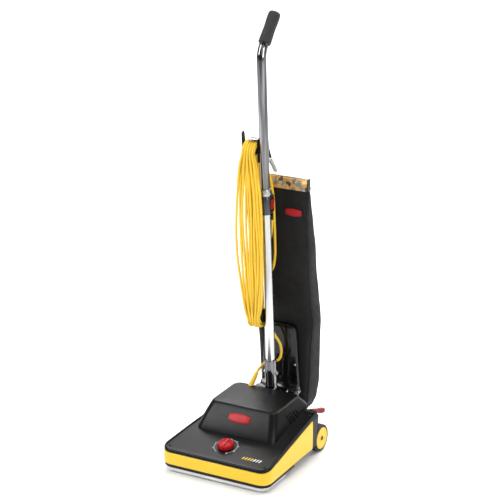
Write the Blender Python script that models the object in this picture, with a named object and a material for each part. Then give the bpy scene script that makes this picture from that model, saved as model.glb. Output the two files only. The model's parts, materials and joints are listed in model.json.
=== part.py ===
"""Upright vacuum cleaner with a cloth dust bag, built as separate pieces.

Metres, +Z up. The nozzle looks along -Y, the handle and the bag are at the rear (+Y), and +X is the
machine's side with the foot pedal. The origin is on the floor, under the middle of the machine.
"""
from math import atan2, cos, pi, radians, sin, sqrt

import bmesh
import bpy
from mathutils import Matrix, Vector

# ---- driving dimensions -------------------------------------------------------------------------
GAP = 0.0003                    # clearance between neighbouring pieces
BODY_HALF_WIDTH = 0.1675        # over the bumper
FRONT_Y = -0.245                # front of the bumper
DECK_SLOPE = 0.2216             # rise of the deck for each metre towards the rear
BUMPER_FRONT_Z = (0.024, 0.059)
BUMPER_REAR_Y = 0.019
BUMPER_REAR_Z = (0.033, 0.1175)
BUMPER_THICKNESS = 0.0065
CORNER_RADIUS = 0.030
FLANK_START_Y = -0.215           # the left flank runs inwards from here
FLANK_CHAMBER_Y = -0.155         # rear of the brush chamber
FLANK_REAR_Y = -0.069            # and is straight again behind this
FLANK_SLOPE = 0.225
FLANK_HELD = (0.1485, 0.1305)    # half widths that the taper leaves alone, at the chamber and behind
DECK_THICKNESS = 0.005

BRUSH_Y, BRUSH_Z = -0.195, 0.030        # agitator axis
BRUSH_CORE_RADIUS = 0.0155
BRISTLE_RADIUS = 0.0258
BRUSH_HALF_LENGTH = 0.140
MOTOR_Y, MOTOR_Z = -0.025, 0.098        # motor axis
STATOR_RADIUS = 0.040
BELT_X = (-0.101, -0.089)               # the belt's track
BELT_THICKNESS = 0.002
MOTOR_PULLEY_RADIUS = 0.008
FAN_X = (0.050, 0.095)                  # outside of the fan housing
FAN_HOUSING_RADIUS = 0.050

WHEEL_Y, WHEEL_RADIUS = 0.087, 0.039
WHEEL_X = (0.1375, 0.162)
AXLE_RADIUS = 0.004
ROLLER_Y, ROLLER_RADIUS = -0.0975, 0.0125
KNOB_Y = -0.173
KNOB_RADIUS = 0.023

PIVOT_Y, PIVOT_Z = 0.0878, 0.105        # handle pivot
HANDLE_LEAN = radians(3.7)              # forward lean when locked upright
SOCKET_TOP = 0.1447                     # the lengths below run along the handle, from the pivot
HOUSING_BOTTOM = 0.580
HOUSING_TOP = 0.634
COLLAR_TOP = 0.653
BEND_START = 1.010
LOWER_TUBE_RADIUS = 0.0135
UPPER_TUBE_RADIUS = 0.0127
GRIP_RADIUS = 0.017
GRIP_START = (0.0176, 1.0521)           # across and along the handle
GRIP_END = (0.0817, 1.1211)

CORD_RADIUS = 0.00375
HANK_FOLD_RADIUS = 0.0265               # middle of the two layers of cord
HANK_LAYER = 0.0075                     # half of the hank's thickness
HANK_TOP = 0.752                        # centre of the upper fold
HANK_BOTTOM = 0.2765                    # centre of the lower fold
HOOK_ROOT_X = -0.0165
HOOK_END_X = -0.0585
HANK_BULGE = 0.024
TAIL_TURN = 0.024                       # the bend above the plug


# ---- helpers ------------------------------------------------------------------------------------
for leftover in list(bpy.data.objects):
    bpy.data.objects.remove(leftover, do_unlink=True)


def material(name, colour, roughness, metallic=0.0):
    """A Principled material with one colour."""
    new = bpy.data.materials.new(name)
    new.use_nodes = True
    shader = new.node_tree.nodes["Principled BSDF"]
    shader.inputs["Base Color"].default_value = (*colour, 1.0)
    shader.inputs["Roughness"].default_value = roughness
    shader.inputs["Metallic"].default_value = metallic
    return new


YELLOW = material("yellow_plastic", (0.90, 0.56, 0.02), 0.4)
YELLOW_CORD = material("yellow_cord", (0.93, 0.58, 0.03), 0.5)
BLACK = material("black_plastic", (0.022, 0.022, 0.022), 0.4)
GLOSS_BLACK = material("gloss_black", (0.010, 0.010, 0.010), 0.12)
RUBBER = material("rubber", (0.018, 0.018, 0.018), 0.8)
FABRIC = material("bag_fabric", (0.012, 0.012, 0.013), 0.9)
PAPER = material("paper", (0.62, 0.53, 0.40), 0.9)
RED = material("red_plastic", (0.42, 0.015, 0.02), 0.35)
DARK_RED = material("dark_red_plastic", (0.22, 0.01, 0.015), 0.4)
CHROME = material("chrome", (0.80, 0.80, 0.82), 0.12, 1.0)
STEEL = material("steel", (0.60, 0.60, 0.61), 0.35, 1.0)
GREY = material("grey_plastic", (0.10, 0.105, 0.11), 0.45)
COPPER = material("copper", (0.72, 0.36, 0.18), 0.35, 1.0)
WOOD = material("wood", (0.45, 0.28, 0.13), 0.6)


def finish(obj, surface):
    """Gives a piece its material and smooth shading."""
    obj.data.materials.clear()
    obj.data.materials.append(surface)
    obj.data.shade_smooth()
    obj.data.set_sharp_from_angle(angle=radians(35))
    return obj


def mesh_object(name, points, faces, surface):
    """A mesh whose faces all look out."""
    mesh = bpy.data.meshes.new(name)
    mesh.from_pydata([tuple(p) for p in points], [], faces)
    shell = bmesh.new()
    shell.from_mesh(mesh)
    bmesh.ops.recalc_face_normals(shell, faces=shell.faces)
    shell.to_mesh(mesh)
    shell.free()
    obj = bpy.data.objects.new(name, mesh)
    bpy.context.collection.objects.link(obj)
    return finish(obj, surface)


def loops_object(name, loops, surface, closed=False):
    """Skins a row of loops with the same number of points; the ends are capped unless closed."""
    count = len(loops[0])
    points = [p for loop in loops for p in loop]
    faces = []
    last = len(loops) if closed else len(loops) - 1
    for i in range(last):
        a = i * count
        b = (i + 1) % len(loops) * count
        for k in range(count):
            n = (k + 1) % count
            faces.append((a + k, a + n, b + n, b + k))
    if not closed:
        faces.append(tuple(range(count)))
        faces.append(tuple(range(len(points) - count, len(points))))
    return mesh_object(name, points, faces, surface)


def box(name, low, high, surface):
    """A block between two corners."""
    (x0, y0, z0), (x1, y1, z1) = low, high
    loops = [[(x0, y0, z), (x1, y0, z), (x1, y1, z), (x0, y1, z)] for z in (z0, z1)]
    return loops_object(name, loops, surface)


def prism(name, outline, x0, x1, surface):
    """An outline in the YZ plane, drawn out along X."""
    return loops_object(name, [[(x, y, z) for y, z in outline] for x in (x0, x1)], surface)


def turned(name, profile, place, surface, sides=24, ring=False):
    """A profile of (radius, height) points turned about its own Z axis, set in place by a matrix."""
    points = []
    starts = []
    for radius, height in profile:
        starts.append(len(points))
        if radius < 1e-7:
            points.append(place @ Vector((0, 0, height)))
            continue
        for k in range(sides):
            angle = 2 * pi * k / sides
            points.append(place @ Vector((radius * cos(angle), radius * sin(angle), height)))
    faces = []
    rows = list(zip(range(len(profile)), range(1, len(profile))))
    if ring:
        rows.append((len(profile) - 1, 0))
    for a, b in rows:
        for k in range(sides):
            n = (k + 1) % sides
            low = (starts[a] + k, starts[a] + n) if profile[a][0] > 1e-7 else (starts[a],)
            high = (starts[b] + n, starts[b] + k) if profile[b][0] > 1e-7 else (starts[b],)
            if len(low) + len(high) > 2:
                faces.append(low + high)
    return mesh_object(name, points, faces, surface)


def along(start, end):
    """The matrix that puts a turned piece's Z axis along a line, its foot at the start."""
    direction = Vector(end) - Vector(start)
    return Matrix.Translation(start) @ direction.to_track_quat('Z', 'Y').to_matrix().to_4x4()


def across(x, y, z):
    """The matrix that puts a turned piece's Z axis along +X."""
    return along((x, y, z), (x + 1, y, z))


def rod(name, start, end, radius, surface, sides=16):
    """A plain round bar."""
    length = (Vector(end) - Vector(start)).length
    return turned(name, [(0, 0), (radius, 0), (radius, length), (0, length)], along(start, end),
                  surface, sides)


def sleeve(name, start, end, inner, outer, surface, sides=20):
    """A plain bush or tube with square ends."""
    length = (Vector(end) - Vector(start)).length
    profile = [(inner, 0), (outer, 0), (outer, length), (inner, length)]
    return turned(name, profile, along(start, end), surface, sides, ring=True)


def rings_along(points, radius, sides):
    """Circles square to a path, without twist."""
    points = [Vector(p) for p in points]
    up = None
    rings = []
    for i, point in enumerate(points):
        ahead = points[min(i + 1, len(points) - 1)]
        behind = points[max(i - 1, 0)]
        tangent = (ahead - behind).normalized()
        if up is None:
            up = tangent.orthogonal().normalized()
        up = (up - tangent * up.dot(tangent)).normalized()
        side = tangent.cross(up)
        rings.append([point + radius * (up * cos(2 * pi * k / sides) + side * sin(2 * pi * k / sides))
                      for k in range(sides)])
    return rings


def bent_tube(name, points, inner, outer, surface, sides=16):
    """A hollow tube along a path, open at both ends."""
    walls = rings_along(points, outer, sides)
    bore = rings_along(points, inner, sides)
    return loops_object(name, walls + bore[::-1], surface, closed=True)


def bent_bar(name, points, radius, surface, sides=8):
    """A round wire along a path."""
    return loops_object(name, rings_along(points, radius, sides), surface)


def smooth_route(stops, spacing):
    """Points at an even spacing on a smooth curve through the stops."""
    stops = [Vector(s) for s in stops]
    ends = [stops[0] * 2 - stops[1]] + stops + [stops[-1] * 2 - stops[-2]]
    fine = []
    for a, b, c, d in zip(ends, ends[1:], ends[2:], ends[3:]):
        for k in range(20):
            t = k / 20
            fine.append(0.5 * (2 * b + (c - a) * t + (2 * a - 5 * b + 4 * c - d) * t ** 2
                               + (3 * b - a - 3 * c + d) * t ** 3))
    fine.append(stops[-1])
    length = sum((q - p).length for p, q in zip(fine, fine[1:]))
    count = max(2, round(length / spacing))
    step = length / count
    route = [fine[0]]
    walked = 0.0
    for p, q in zip(fine, fine[1:]):
        piece = (q - p).length
        while len(route) < count and walked + piece >= len(route) * step:
            route.append(p.lerp(q, (len(route) * step - walked) / piece))
        walked += piece
    route.append(fine[-1])
    return route


def cord_object(name, stops, surface=YELLOW_CORD, spacing=0.016):
    """A stretch of cord: a round bevel along a smooth route."""
    route = smooth_route(stops, spacing)
    curve = bpy.data.curves.new(name, 'CURVE')
    curve.dimensions = '3D'
    curve.bevel_depth = CORD_RADIUS
    curve.bevel_resolution = 2
    curve.use_fill_caps = True
    spline = curve.splines.new('POLY')
    spline.points.add(len(route) - 1)
    for point, place in zip(spline.points, route):
        point.co = (*place, 1.0)
    curve.materials.append(surface)
    obj = bpy.data.objects.new(name, curve)
    bpy.context.collection.objects.link(obj)
    return obj


def boolean(target, tool, operation='DIFFERENCE'):
    """Cuts with, or adds, a tool that isn't a piece itself."""
    tool.hide_render = True
    tool.display_type = 'WIRE'
    change = target.modifiers.new(operation.lower(), 'BOOLEAN')
    change.operation = operation
    change.solver = 'EXACT'
    change.object = tool
    return target


def cut(target, low, high):
    """Cuts a block out of a piece."""
    return boolean(target, box(target.name + "_cutter", low, high, BLACK))


def add(target, tool):
    """Joins a tool to a piece."""
    return boolean(target, tool, 'UNION')


def rounded_plan(x_half, y_front, y_rear, front_radius, rear_radius, steps=5):
    """A rectangle in plan with rounded corners, anticlockwise from the right rear corner."""
    corners = [(x_half, y_rear, rear_radius, 0), (-x_half, y_rear, rear_radius, 1),
               (-x_half, y_front, front_radius, 2), (x_half, y_front, front_radius, 3)]
    outline = []
    for x, y, radius, quarter in corners:
        cx = x - radius * (1 if x > 0 else -1)
        cy = y - radius * (1 if y == y_rear else -1)
        for k in range(steps + 1):
            angle = pi / 2 * (quarter + k / steps)
            outline.append((cx + radius * cos(angle), cy + radius * sin(angle)))
    return outline


def deck_line(y):
    """Height of the deck's underside."""
    return BUMPER_FRONT_Z[1] + GAP + DECK_SLOPE * (y - FRONT_Y)


def left_stops(rear):
    """Heights in Y where the left flank's outline bends."""
    return [y for y in (FLANK_REAR_Y, -0.115, FLANK_CHAMBER_Y) if y < rear]


def with_left_stops(plan, steps=5):
    """A rounded plan with the left flank's bends added to its straight left side."""
    cut_in = 2 * (steps + 1)
    x = plan[cut_in][0]
    stops = [(x, y) for y in left_stops(plan[cut_in - 1][1] - 0.005)]
    return plan[:cut_in] + stops + plan[cut_in:]


def draw_in_flank(obj):
    """Runs the left flank inwards behind the brush chamber; what lies within it stays in place."""
    for vertex in obj.data.vertices:
        x, y = vertex.co.x, vertex.co.y
        share = min(max((y - FLANK_CHAMBER_Y) / (FLANK_REAR_Y - FLANK_CHAMBER_Y), 0.0), 1.0)
        held = FLANK_HELD[0] + share * (FLANK_HELD[1] - FLANK_HELD[0])
        if x < -held:
            width = BODY_HALF_WIDTH - FLANK_SLOPE * (min(max(y, FLANK_START_Y), FLANK_REAR_Y) - FLANK_START_Y)
            vertex.co.x = -held + (x + held) * (width - held) / (BODY_HALF_WIDTH - held)
    return obj


# ---- base ---------------------------------------------------------------------------------------
def make_base_housing():
    """Main casting: brush chamber in front, motor bay behind it, ears for the axle and the pivot."""
    front, rear = FRONT_Y + 0.009, 0.058
    foot, side, rim = [], [], []
    for x, y in with_left_stops(rounded_plan(0.158, front, rear, CORNER_RADIUS - 0.009, 0.004)):
        drawn_in = min(y, rear - 0.012) if y < 0 else y - 0.012
        share = (y - front) / (rear - front)
        foot.append((x, drawn_in, 0.0155 + 0.0145 * (drawn_in - front) / (rear - front)))
        side.append((x, y, 0.0180 + 0.0370 * share))
        rim.append((x, y, deck_line(y) - 0.0006))
    housing = loops_object("base_housing", [foot, side, rim], BLACK)
    cut(housing, (-0.148, -0.226, -0.01), (0.148, -0.158, 0.0605))
    cut(housing, (-0.112, -0.118, 0.045), (0.112, 0.045, 0.2))
    cut(housing, (-0.016, 0.040, 0.070), (0.090, 0.0555, 0.2))
    cut(housing, (-0.127, -0.1135, -0.01), (0.152, 0.0400, 0.0405))
    for low_x, high_x in ((-0.127, -0.1165), (0.1165, 0.152)):
        cut(housing, (low_x, -0.1100, -0.01), (high_x, 0.0380, 0.072))
    cut(housing, (-0.106, -0.162, 0.025), (-0.084, -0.110, 0.2))
    cut(housing, (0.050, -0.162, 0.030), (0.090, -0.110, 0.058))
    cut(housing, (-0.014, KNOB_Y - 0.014, 0.0655), (0.014, KNOB_Y + 0.014, 0.2))
    for side in (-1, 1):
        wing = sorted((side * 0.1345, side * 0.2))
        cut(housing, (wing[0], 0.042, -0.01), (wing[1], 0.07, 0.092))
    for side in (-1, 1):
        axle_ear = sorted((side * 0.116, side * 0.130))
        add(housing, box("axle_ear", (axle_ear[0], 0.050, 0.030), (axle_ear[1], 0.097, 0.060), BLACK))
        pivot_ear = sorted((side * 0.0523, side * 0.062))
        add(housing, box("pivot_ear", (pivot_ear[0], 0.0562, 0.090), (pivot_ear[1], 0.101, 0.119), BLACK))
    add(housing, box("pedal_ear", (0.108, 0.050, 0.080), (0.1165, 0.081, 0.119), BLACK))
    boolean(housing, rod("axle_hole", (-0.2, WHEEL_Y, WHEEL_RADIUS), (0.2, WHEEL_Y, WHEEL_RADIUS),
                         AXLE_RADIUS + GAP, BLACK))
    boolean(housing, rod("pivot_hole", (-0.08, PIVOT_Y, PIVOT_Z), (0.08, PIVOT_Y, PIVOT_Z),
                         0.006 + GAP, BLACK))
    add(housing, rod("pedal_pin", (0.110, PEDAL_PIVOT[1], PEDAL_PIVOT[2]),
                     (0.1350, PEDAL_PIVOT[1], PEDAL_PIVOT[2]), 0.004, BLACK, 12))
    boolean(housing, rod("outlet_hole", (0, 0.03, 0.085), (0, 0.08, 0.085), 0.0163, BLACK))
    return draw_in_flank(housing)


def make_top_deck():
    """Sloping lid over the nozzle, with an opening under the motor cover."""
    outline = with_left_stops(rounded_plan(BODY_HALF_WIDTH - 0.001, FRONT_Y + 0.0005, 0.056,
                                           CORNER_RADIUS, 0.012))
    loops = []
    for lift, inset in ((0.0, 0.0), (DECK_THICKNESS - 0.0015, 0.0), (DECK_THICKNESS, 0.003)):
        scale_x = 1 - inset / BODY_HALF_WIDTH
        level = []
        for x, y in outline:
            inner_y = y + inset * (1 if y < -0.1 else -1)
            level.append((x * scale_x, inner_y, deck_line(inner_y) + lift))
        loops.append(level)
    deck = loops_object("top_deck", loops, BLACK)
    cut(deck, (-0.110, -0.116, 0.0), (0.110, 0.043, 0.2))
    axis = knob_axis()
    boolean(deck, turned("knob_hole", [(0, -0.02), (0.0065, -0.02), (0.0065, 0.02), (0, 0.02)],
                         axis, BLACK, 16))
    return draw_in_flank(deck)


def make_bumper():
    """Band round the nose and both sides, taller towards the rear."""
    def band_plan(offset):
        half = BODY_HALF_WIDTH - offset
        front = FRONT_Y + offset
        radius = CORNER_RADIUS - offset
        plan = [(-half, y) for y in (BUMPER_REAR_Y, *left_stops(BUMPER_REAR_Y))]
        for side, start in ((-1, pi), (1, 1.5 * pi)):
            centre = (side * (half - radius), front + radius)
            for k in range(9):
                angle = start + pi / 2 * k / 8
                plan.append((centre[0] + radius * cos(angle), centre[1] + radius * sin(angle)))
        return plan + [(half, -0.10), (half, BUMPER_REAR_Y)]

    outer = band_plan(0.0)
    crown = band_plan(0.0012)
    inner = band_plan(BUMPER_THICKNESS)
    run = BUMPER_REAR_Y - FRONT_Y
    loops = []
    for (xo, yo), (xc, yc), (xi, yi) in zip(outer, crown, inner):
        share = (yo - FRONT_Y) / run
        low = BUMPER_FRONT_Z[0] + share * (BUMPER_REAR_Z[0] - BUMPER_FRONT_Z[0])
        high = BUMPER_FRONT_Z[1] + share * (BUMPER_REAR_Z[1] - BUMPER_FRONT_Z[1])
        loops.append([(xi, yi, low), (xc, yc, low), (xo, yo, low + 0.003), (xo, yo, high - 0.003),
                      (xc, yc, high), (xi, yi, high)])
    return draw_in_flank(loops_object("bumper", loops, YELLOW))


def make_bottom_plate():
    """Steel sole with the slot that the bristles reach through."""
    outline = with_left_stops(rounded_plan(0.1585, FRONT_Y + 0.002, -0.120, 0.024, 0.004))
    loops = [[(x, y, z) for x, y in outline] for z in (0.0075, 0.0152)]
    plate = loops_object("bottom_plate", loops, STEEL)
    return draw_in_flank(cut(plate, (-0.145, -0.2235, 0.0), (0.145, -0.1665, 0.03)))


def make_motor_cover():
    """Tapered hood over the motor: a thin shell, open below."""
    def hood_loop(inset, level):
        half = 0.123 - 0.021 * level - inset
        front = -0.128 + 0.048 * level + inset
        rear = 0.086 - 0.020 * level - inset
        loop = []
        for x, y in rounded_plan(half, front, rear, 0.020 - inset * 0.5, 0.022 - inset * 0.5, 4):
            base = deck_line(y) + DECK_THICKNESS + GAP
            roof = 0.163 + 0.004 * (y - front) / (rear - front)
            shoulder = level ** 0.85
            loop.append(Vector((x, y, base + (roof - inset - base) * shoulder)))
        return loop

    levels = (0.0, 0.35, 0.72, 0.93, 1.0)
    outer = [hood_loop(0.0, level) for level in levels]
    inner = [hood_loop(0.003, level) for level in levels]
    count = len(outer[0])
    loops = outer + inner[::-1]
    points = [p for loop in loops for p in loop]
    faces = []
    for i in range(len(loops)):
        if i == len(levels) - 1:
            continue
        a = i * count
        b = (i + 1) % len(loops) * count
        for k in range(count):
            n = (k + 1) % count
            faces.append((a + k, a + n, b + n, b + k))
    top = (len(levels) - 1) * count
    faces.append(tuple(range(top, top + count)))
    faces.append(tuple(range(top + count, top + 2 * count)))
    cover = mesh_object("motor_cover", points, faces, BLACK)
    cut(cover, (-0.056, 0.0658, 0.05), (0.056, 0.11, 0.1605))
    cut(cover, (-0.0195, 0.0650, 0.05), (0.0195, 0.11, 0.2))
    boolean(cover, rod("relief_hole", RELIEF_FOOT, RELIEF_TIP, 0.0088, BLACK, 12))
    return cover


RELIEF_FOOT = (-0.057, 0.052, 0.150)
RELIEF_MOUTH = (-0.054, 0.060, 0.172)
RELIEF_TIP = (-0.0437, 0.0795, 0.2007)


def make_lead_relief():
    """Tapered sleeve that guides the lead out of the motor cover."""
    place = along(RELIEF_FOOT, RELIEF_TIP)
    length = (Vector(RELIEF_TIP) - Vector(RELIEF_FOOT)).length
    profile = [(0, 0), (0.0082, 0), (0.0080, 0.022), (0.0072, 0.035), (0.0060, length), (0, length)]
    return turned("lead_relief", profile, place, YELLOW_CORD, 12)


def make_motor():
    """Motor, fan and their housings, all about one axis along X."""
    def on_axis(x):
        return across(x, MOTOR_Y, MOTOR_Z)

    turned("motor_stator", [(0.0272, -0.030), (STATOR_RADIUS, -0.030), (STATOR_RADIUS, 0.030),
                            (0.0272, 0.030)], on_axis(0), STEEL, 24, ring=True)
    bell = [(0.0103, 0.0), (STATOR_RADIUS, 0.0), (STATOR_RADIUS, 0.0190), (0.037, 0.0190),
            (0.037, 0.003), (0.0103, 0.003)]
    turned("motor_end_bell", bell, on_axis(-0.0493), GREY, 24, ring=True)
    turned("motor_bearing_left", [(0.0053, 0), (0.010, 0), (0.010, 0.006), (0.0053, 0.006)],
           on_axis(-0.0525), STEEL, 16, ring=True)
    turned("motor_bearing_right", [(0.0053, 0), (0.010, 0), (0.010, 0.006), (0.0053, 0.006)],
           on_axis(0.0485), STEEL, 16, ring=True)
    for name, side in (("carbon_brush_upper", 1), ("carbon_brush_lower", -1)):
        reach = sorted((MOTOR_Z + side * 0.0124, MOTOR_Z + side * 0.034))
        box(name, (-0.0440, MOTOR_Y - 0.004, reach[0]), (-0.0360, MOTOR_Y + 0.004, reach[1]), GREY)
    shaft = [(0, -0.1035), (0.0045, -0.1035), (0.0045, -0.1015), (MOTOR_PULLEY_RADIUS, -0.1015),
             (MOTOR_PULLEY_RADIUS, -0.0885), (0.005, -0.0885), (0.005, 0.0764), (0.0085, 0.0764),
             (0.0085, 0.0820), (0.0045, 0.0820), (0.0045, 0.0860), (0, 0.0860)]
    turned("motor_shaft", shaft, on_axis(0), STEEL, 16)
    core = [(0.0053, -0.046), (0.012, -0.046), (0.012, -0.034), (0.0200, -0.031), (0.0265, -0.028),
            (0.0265, 0.028), (0.0200, 0.031), (0.0053, 0.034)]
    turned("armature", core, on_axis(0), COPPER, 24, ring=True)
    inner = FAN_HOUSING_RADIUS - 0.003
    low, high = FAN_X
    shell = [(0.0103, low), (FAN_HOUSING_RADIUS, low), (FAN_HOUSING_RADIUS, high), (0.020, high),
             (0.020, high - 0.003), (inner, high - 0.003), (inner, low + 0.003), (0.0103, low + 0.003)]
    housing = turned("fan_housing", shell, on_axis(0), GREY, 20, ring=True)
    boolean(housing, rod("fan_outlet", (0.0725, MOTOR_Y, MOTOR_Z), (0.0725, 0.03, MOTOR_Z), 0.0135,
                         BLACK))
    fan = turned("fan", [(0.0053, 0.0560), (0.044, 0.0560), (0.044, 0.0580), (0.012, 0.0585),
                         (0.010, 0.0760), (0.0053, 0.0760)], on_axis(0), STEEL, 24, ring=True)
    for k in range(6):
        blade = box("fan_blade", (0.0575, -0.0008, 0.009), (0.0760, 0.0008, 0.043), STEEL)
        blade.data.transform(Matrix.Translation((0, MOTOR_Y, MOTOR_Z)) @ Matrix.Rotation(
            2 * pi * k / 6, 4, 'X'))
        add(fan, blade)
    stops = [(0.0725, 0.0256, 0.098), (0.0700, 0.034, 0.0965), (0.050, 0.041, 0.091),
             (0.020, 0.0395, 0.0855), (0.006, 0.043, 0.085), (0.0, 0.052, 0.085), (0.0, 0.0595, 0.085)]
    bent_tube("outlet_pipe", smooth_route(stops, 0.011), 0.0105, 0.0125, BLACK, 10)


def make_belt():
    """Flat belt round the motor pulley and the brush."""
    def loop(extra):
        small = Vector((MOTOR_Y, MOTOR_Z))
        big = Vector((BRUSH_Y, BRUSH_Z))
        r_small = MOTOR_PULLEY_RADIUS + GAP + extra
        r_big = 0.0145 + GAP + extra
        line = big - small
        heading = atan2(line.y, line.x)
        lean = (r_small - r_big) / line.length
        side = pi / 2 - lean
        outline = []
        for k in range(13):
            angle = heading - side + 2 * side * k / 12
            outline.append((big.x + r_big * cos(angle), big.y + r_big * sin(angle)))
        for k in range(9):
            angle = heading + side + (2 * pi - 2 * side) * k / 8
            outline.append((small.x + r_small * cos(angle), small.y + r_small * sin(angle)))
        return outline

    outer = loop(BELT_THICKNESS)
    inner = loop(0.0)
    x0, x1 = BELT_X
    loops = []
    for (yo, zo), (yi, zi) in zip(outer, inner):
        loops.append([(x0, yo, zo), (x1, yo, zo), (x1, yi, zi), (x0, yi, zi)])
    return loops_object("drive_belt", loops, RUBBER, closed=True)


def make_brush_roll():
    """Turned core with a belt groove and two rows of bristles, in bearings at both ends."""
    half = BRUSH_HALF_LENGTH
    core = [(0, -half - 0.005), (0.0037, -half - 0.005), (0.0037, -half), (BRUSH_CORE_RADIUS, -half),
            (BRUSH_CORE_RADIUS, BELT_X[0] - 0.001), (0.0145, BELT_X[0] - 0.001),
            (0.0145, BELT_X[1] + 0.001), (BRUSH_CORE_RADIUS, BELT_X[1] + 0.001),
            (BRUSH_CORE_RADIUS, half), (0.0037, half), (0.0037, half + 0.005), (0, half + 0.005)]
    turned("brush_core", core, across(0, BRUSH_Y, BRUSH_Z), WOOD, 20)
    for name, side in (("bristle_row_front", -1), ("bristle_row_rear", 1)):
        reach = sorted((BRUSH_Y + side * (BRUSH_CORE_RADIUS + GAP), BRUSH_Y + side * BRISTLE_RADIUS))
        box(name, (-0.084, reach[0], BRUSH_Z - 0.003), (0.137, reach[1], BRUSH_Z + 0.003), RUBBER)
    for name, side in (("brush_bearing_left", -1), ("brush_bearing_right", 1)):
        start = (side * (half + 0.0008), BRUSH_Y, BRUSH_Z)
        end = (side * 0.1476, BRUSH_Y, BRUSH_Z)
        sleeve(name, start, end, 0.0040, 0.011, STEEL, 16)


def make_height_control():
    """Front carriage with two rollers, and the knob whose cam lifts the nozzle."""
    carriage = box("front_carriage", (-0.104, -0.1105, 0.0265), (0.104, -0.0845, 0.0300), STEEL)
    for x in (-0.104, -0.0755, 0.0725, 0.101):
        add(carriage, box("carriage_leg", (x, -0.1045, 0.0085), (x + 0.003, -0.0905, 0.0275), STEEL))
    add(carriage, rod("front_axle", (-0.1055, ROLLER_Y, ROLLER_RADIUS),
                      (0.1055, ROLLER_Y, ROLLER_RADIUS), 0.0030, STEEL, 12))
    for name, x in (("front_roller_left", -0.0995), ("front_roller_right", 0.0765)):
        profile = [(0.0034, 0), (0.0115, 0), (ROLLER_RADIUS, 0.001), (ROLLER_RADIUS, 0.022),
                   (0.0115, 0.023), (0.0034, 0.023)]
        turned(name, profile, across(x, ROLLER_Y, ROLLER_RADIUS), RUBBER, 24, ring=True)
    axis = knob_axis()
    grip = []
    for level, radius in ((0.0008, 1.0), (0.0095, 0.97), (0.0135, 0.90), (0.0150, 0.80)):
        ring = []
        for k in range(48):
            angle = 2 * pi * k / 48
            wave = 1 - 0.055 * (0.5 + 0.5 * cos(12 * angle))
            reach = KNOB_RADIUS * radius * wave
            ring.append(axis @ Vector((reach * cos(angle), reach * sin(angle), level)))
        grip.append(ring)
    knob = loops_object("height_knob", grip, RED)
    add(knob, turned("knob_stem", [(0, -0.0070), (0.0060, -0.0070), (0.0060, 0.004), (0, 0.004)],
                     axis, RED, 16))
    add(knob, turned("knob_cam", [(0, -0.0090), (0.010, -0.0090), (0.010, -0.0060), (0, -0.0060)],
                     axis @ Matrix.Translation((0.0015, 0, 0)), RED, 20))


def knob_axis():
    """The knob's axis: square to the deck, from its upper face."""
    foot = Vector((0, KNOB_Y, deck_line(KNOB_Y) + DECK_THICKNESS))
    normal = Vector((0, -DECK_SLOPE, 1)).normalized()
    return Matrix.Translation(foot) @ normal.to_track_quat('Z', 'Y').to_matrix().to_4x4()


def make_wheels():
    """Rear axle, and a tyre on a dished hub at each side."""
    rod("rear_axle", (-0.1600, WHEEL_Y, WHEEL_RADIUS), (0.1600, WHEEL_Y, WHEEL_RADIUS), AXLE_RADIUS,
        STEEL, 16)
    width = WHEEL_X[1] - WHEEL_X[0]
    for name, side in (("left", -1), ("right", 1)):
        place = along((side * WHEEL_X[0], WHEEL_Y, WHEEL_RADIUS),
                      (side * WHEEL_X[1], WHEEL_Y, WHEEL_RADIUS))
        tyre = [(0.0313, 0.0), (0.0360, 0.0), (WHEEL_RADIUS, 0.003), (WHEEL_RADIUS, width - 0.004),
                (0.0368, width - 0.001), (0.0313, width - 0.001)]
        turned("tyre_" + name, tyre, place, RUBBER, 26, ring=True)
        hub = [(AXLE_RADIUS + GAP, 0.002), (0.0310, 0.002), (0.0310, width - 0.001),
               (0.0280, width), (0.0120, width - 0.0015), (0.0085, width), (AXLE_RADIUS + GAP, width)]
        turned("hub_" + name, hub, place, YELLOW, 26, ring=True)


PEDAL_PIVOT = (0.126, 0.0720, 0.1120)


def make_foot_pedal():
    """Release pedal on its pin at the right rear corner."""
    y, z = PEDAL_PIVOT[1], PEDAL_PIVOT[2]
    spine = [(y - 0.0085, z), (y - 0.003, z + 0.0085), (0.090, 0.1195), (0.120, 0.1110),
             (0.140, 0.1040), (0.156, 0.1010), (0.1635, 0.0950), (0.1620, 0.0860), (0.152, 0.0835),
             (0.138, 0.0870), (0.118, 0.0950), (0.092, 0.1035), (y + 0.003, z - 0.0085)]
    pedal = prism("foot_pedal", spine, 0.1170, 0.1345, DARK_RED)
    boolean(pedal, rod("pedal_bore", (0.10, y, z), (0.14, y, z), 0.0040 + GAP, RED, 12))
    return pedal


# ---- handle -------------------------------------------------------------------------------------
LEAN = Matrix.Translation((0, PIVOT_Y, PIVOT_Z)) @ Matrix.Rotation(HANDLE_LEAN, 4, 'X')


def on_handle(x, across_handle, along_handle):
    """A place given in the handle's own frame: across X, behind its axis, and up from the pivot."""
    return LEAN @ Vector((x, across_handle, along_handle))


def lean_with_handle(obj):
    """Moves a piece that was drawn in the handle's own frame to its place."""
    obj.data.transform(LEAN)
    return obj


def handle_box(name, low, high, surface):
    """A block drawn in the handle's own frame."""
    return lean_with_handle(box(name, low, high, surface))


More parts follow.
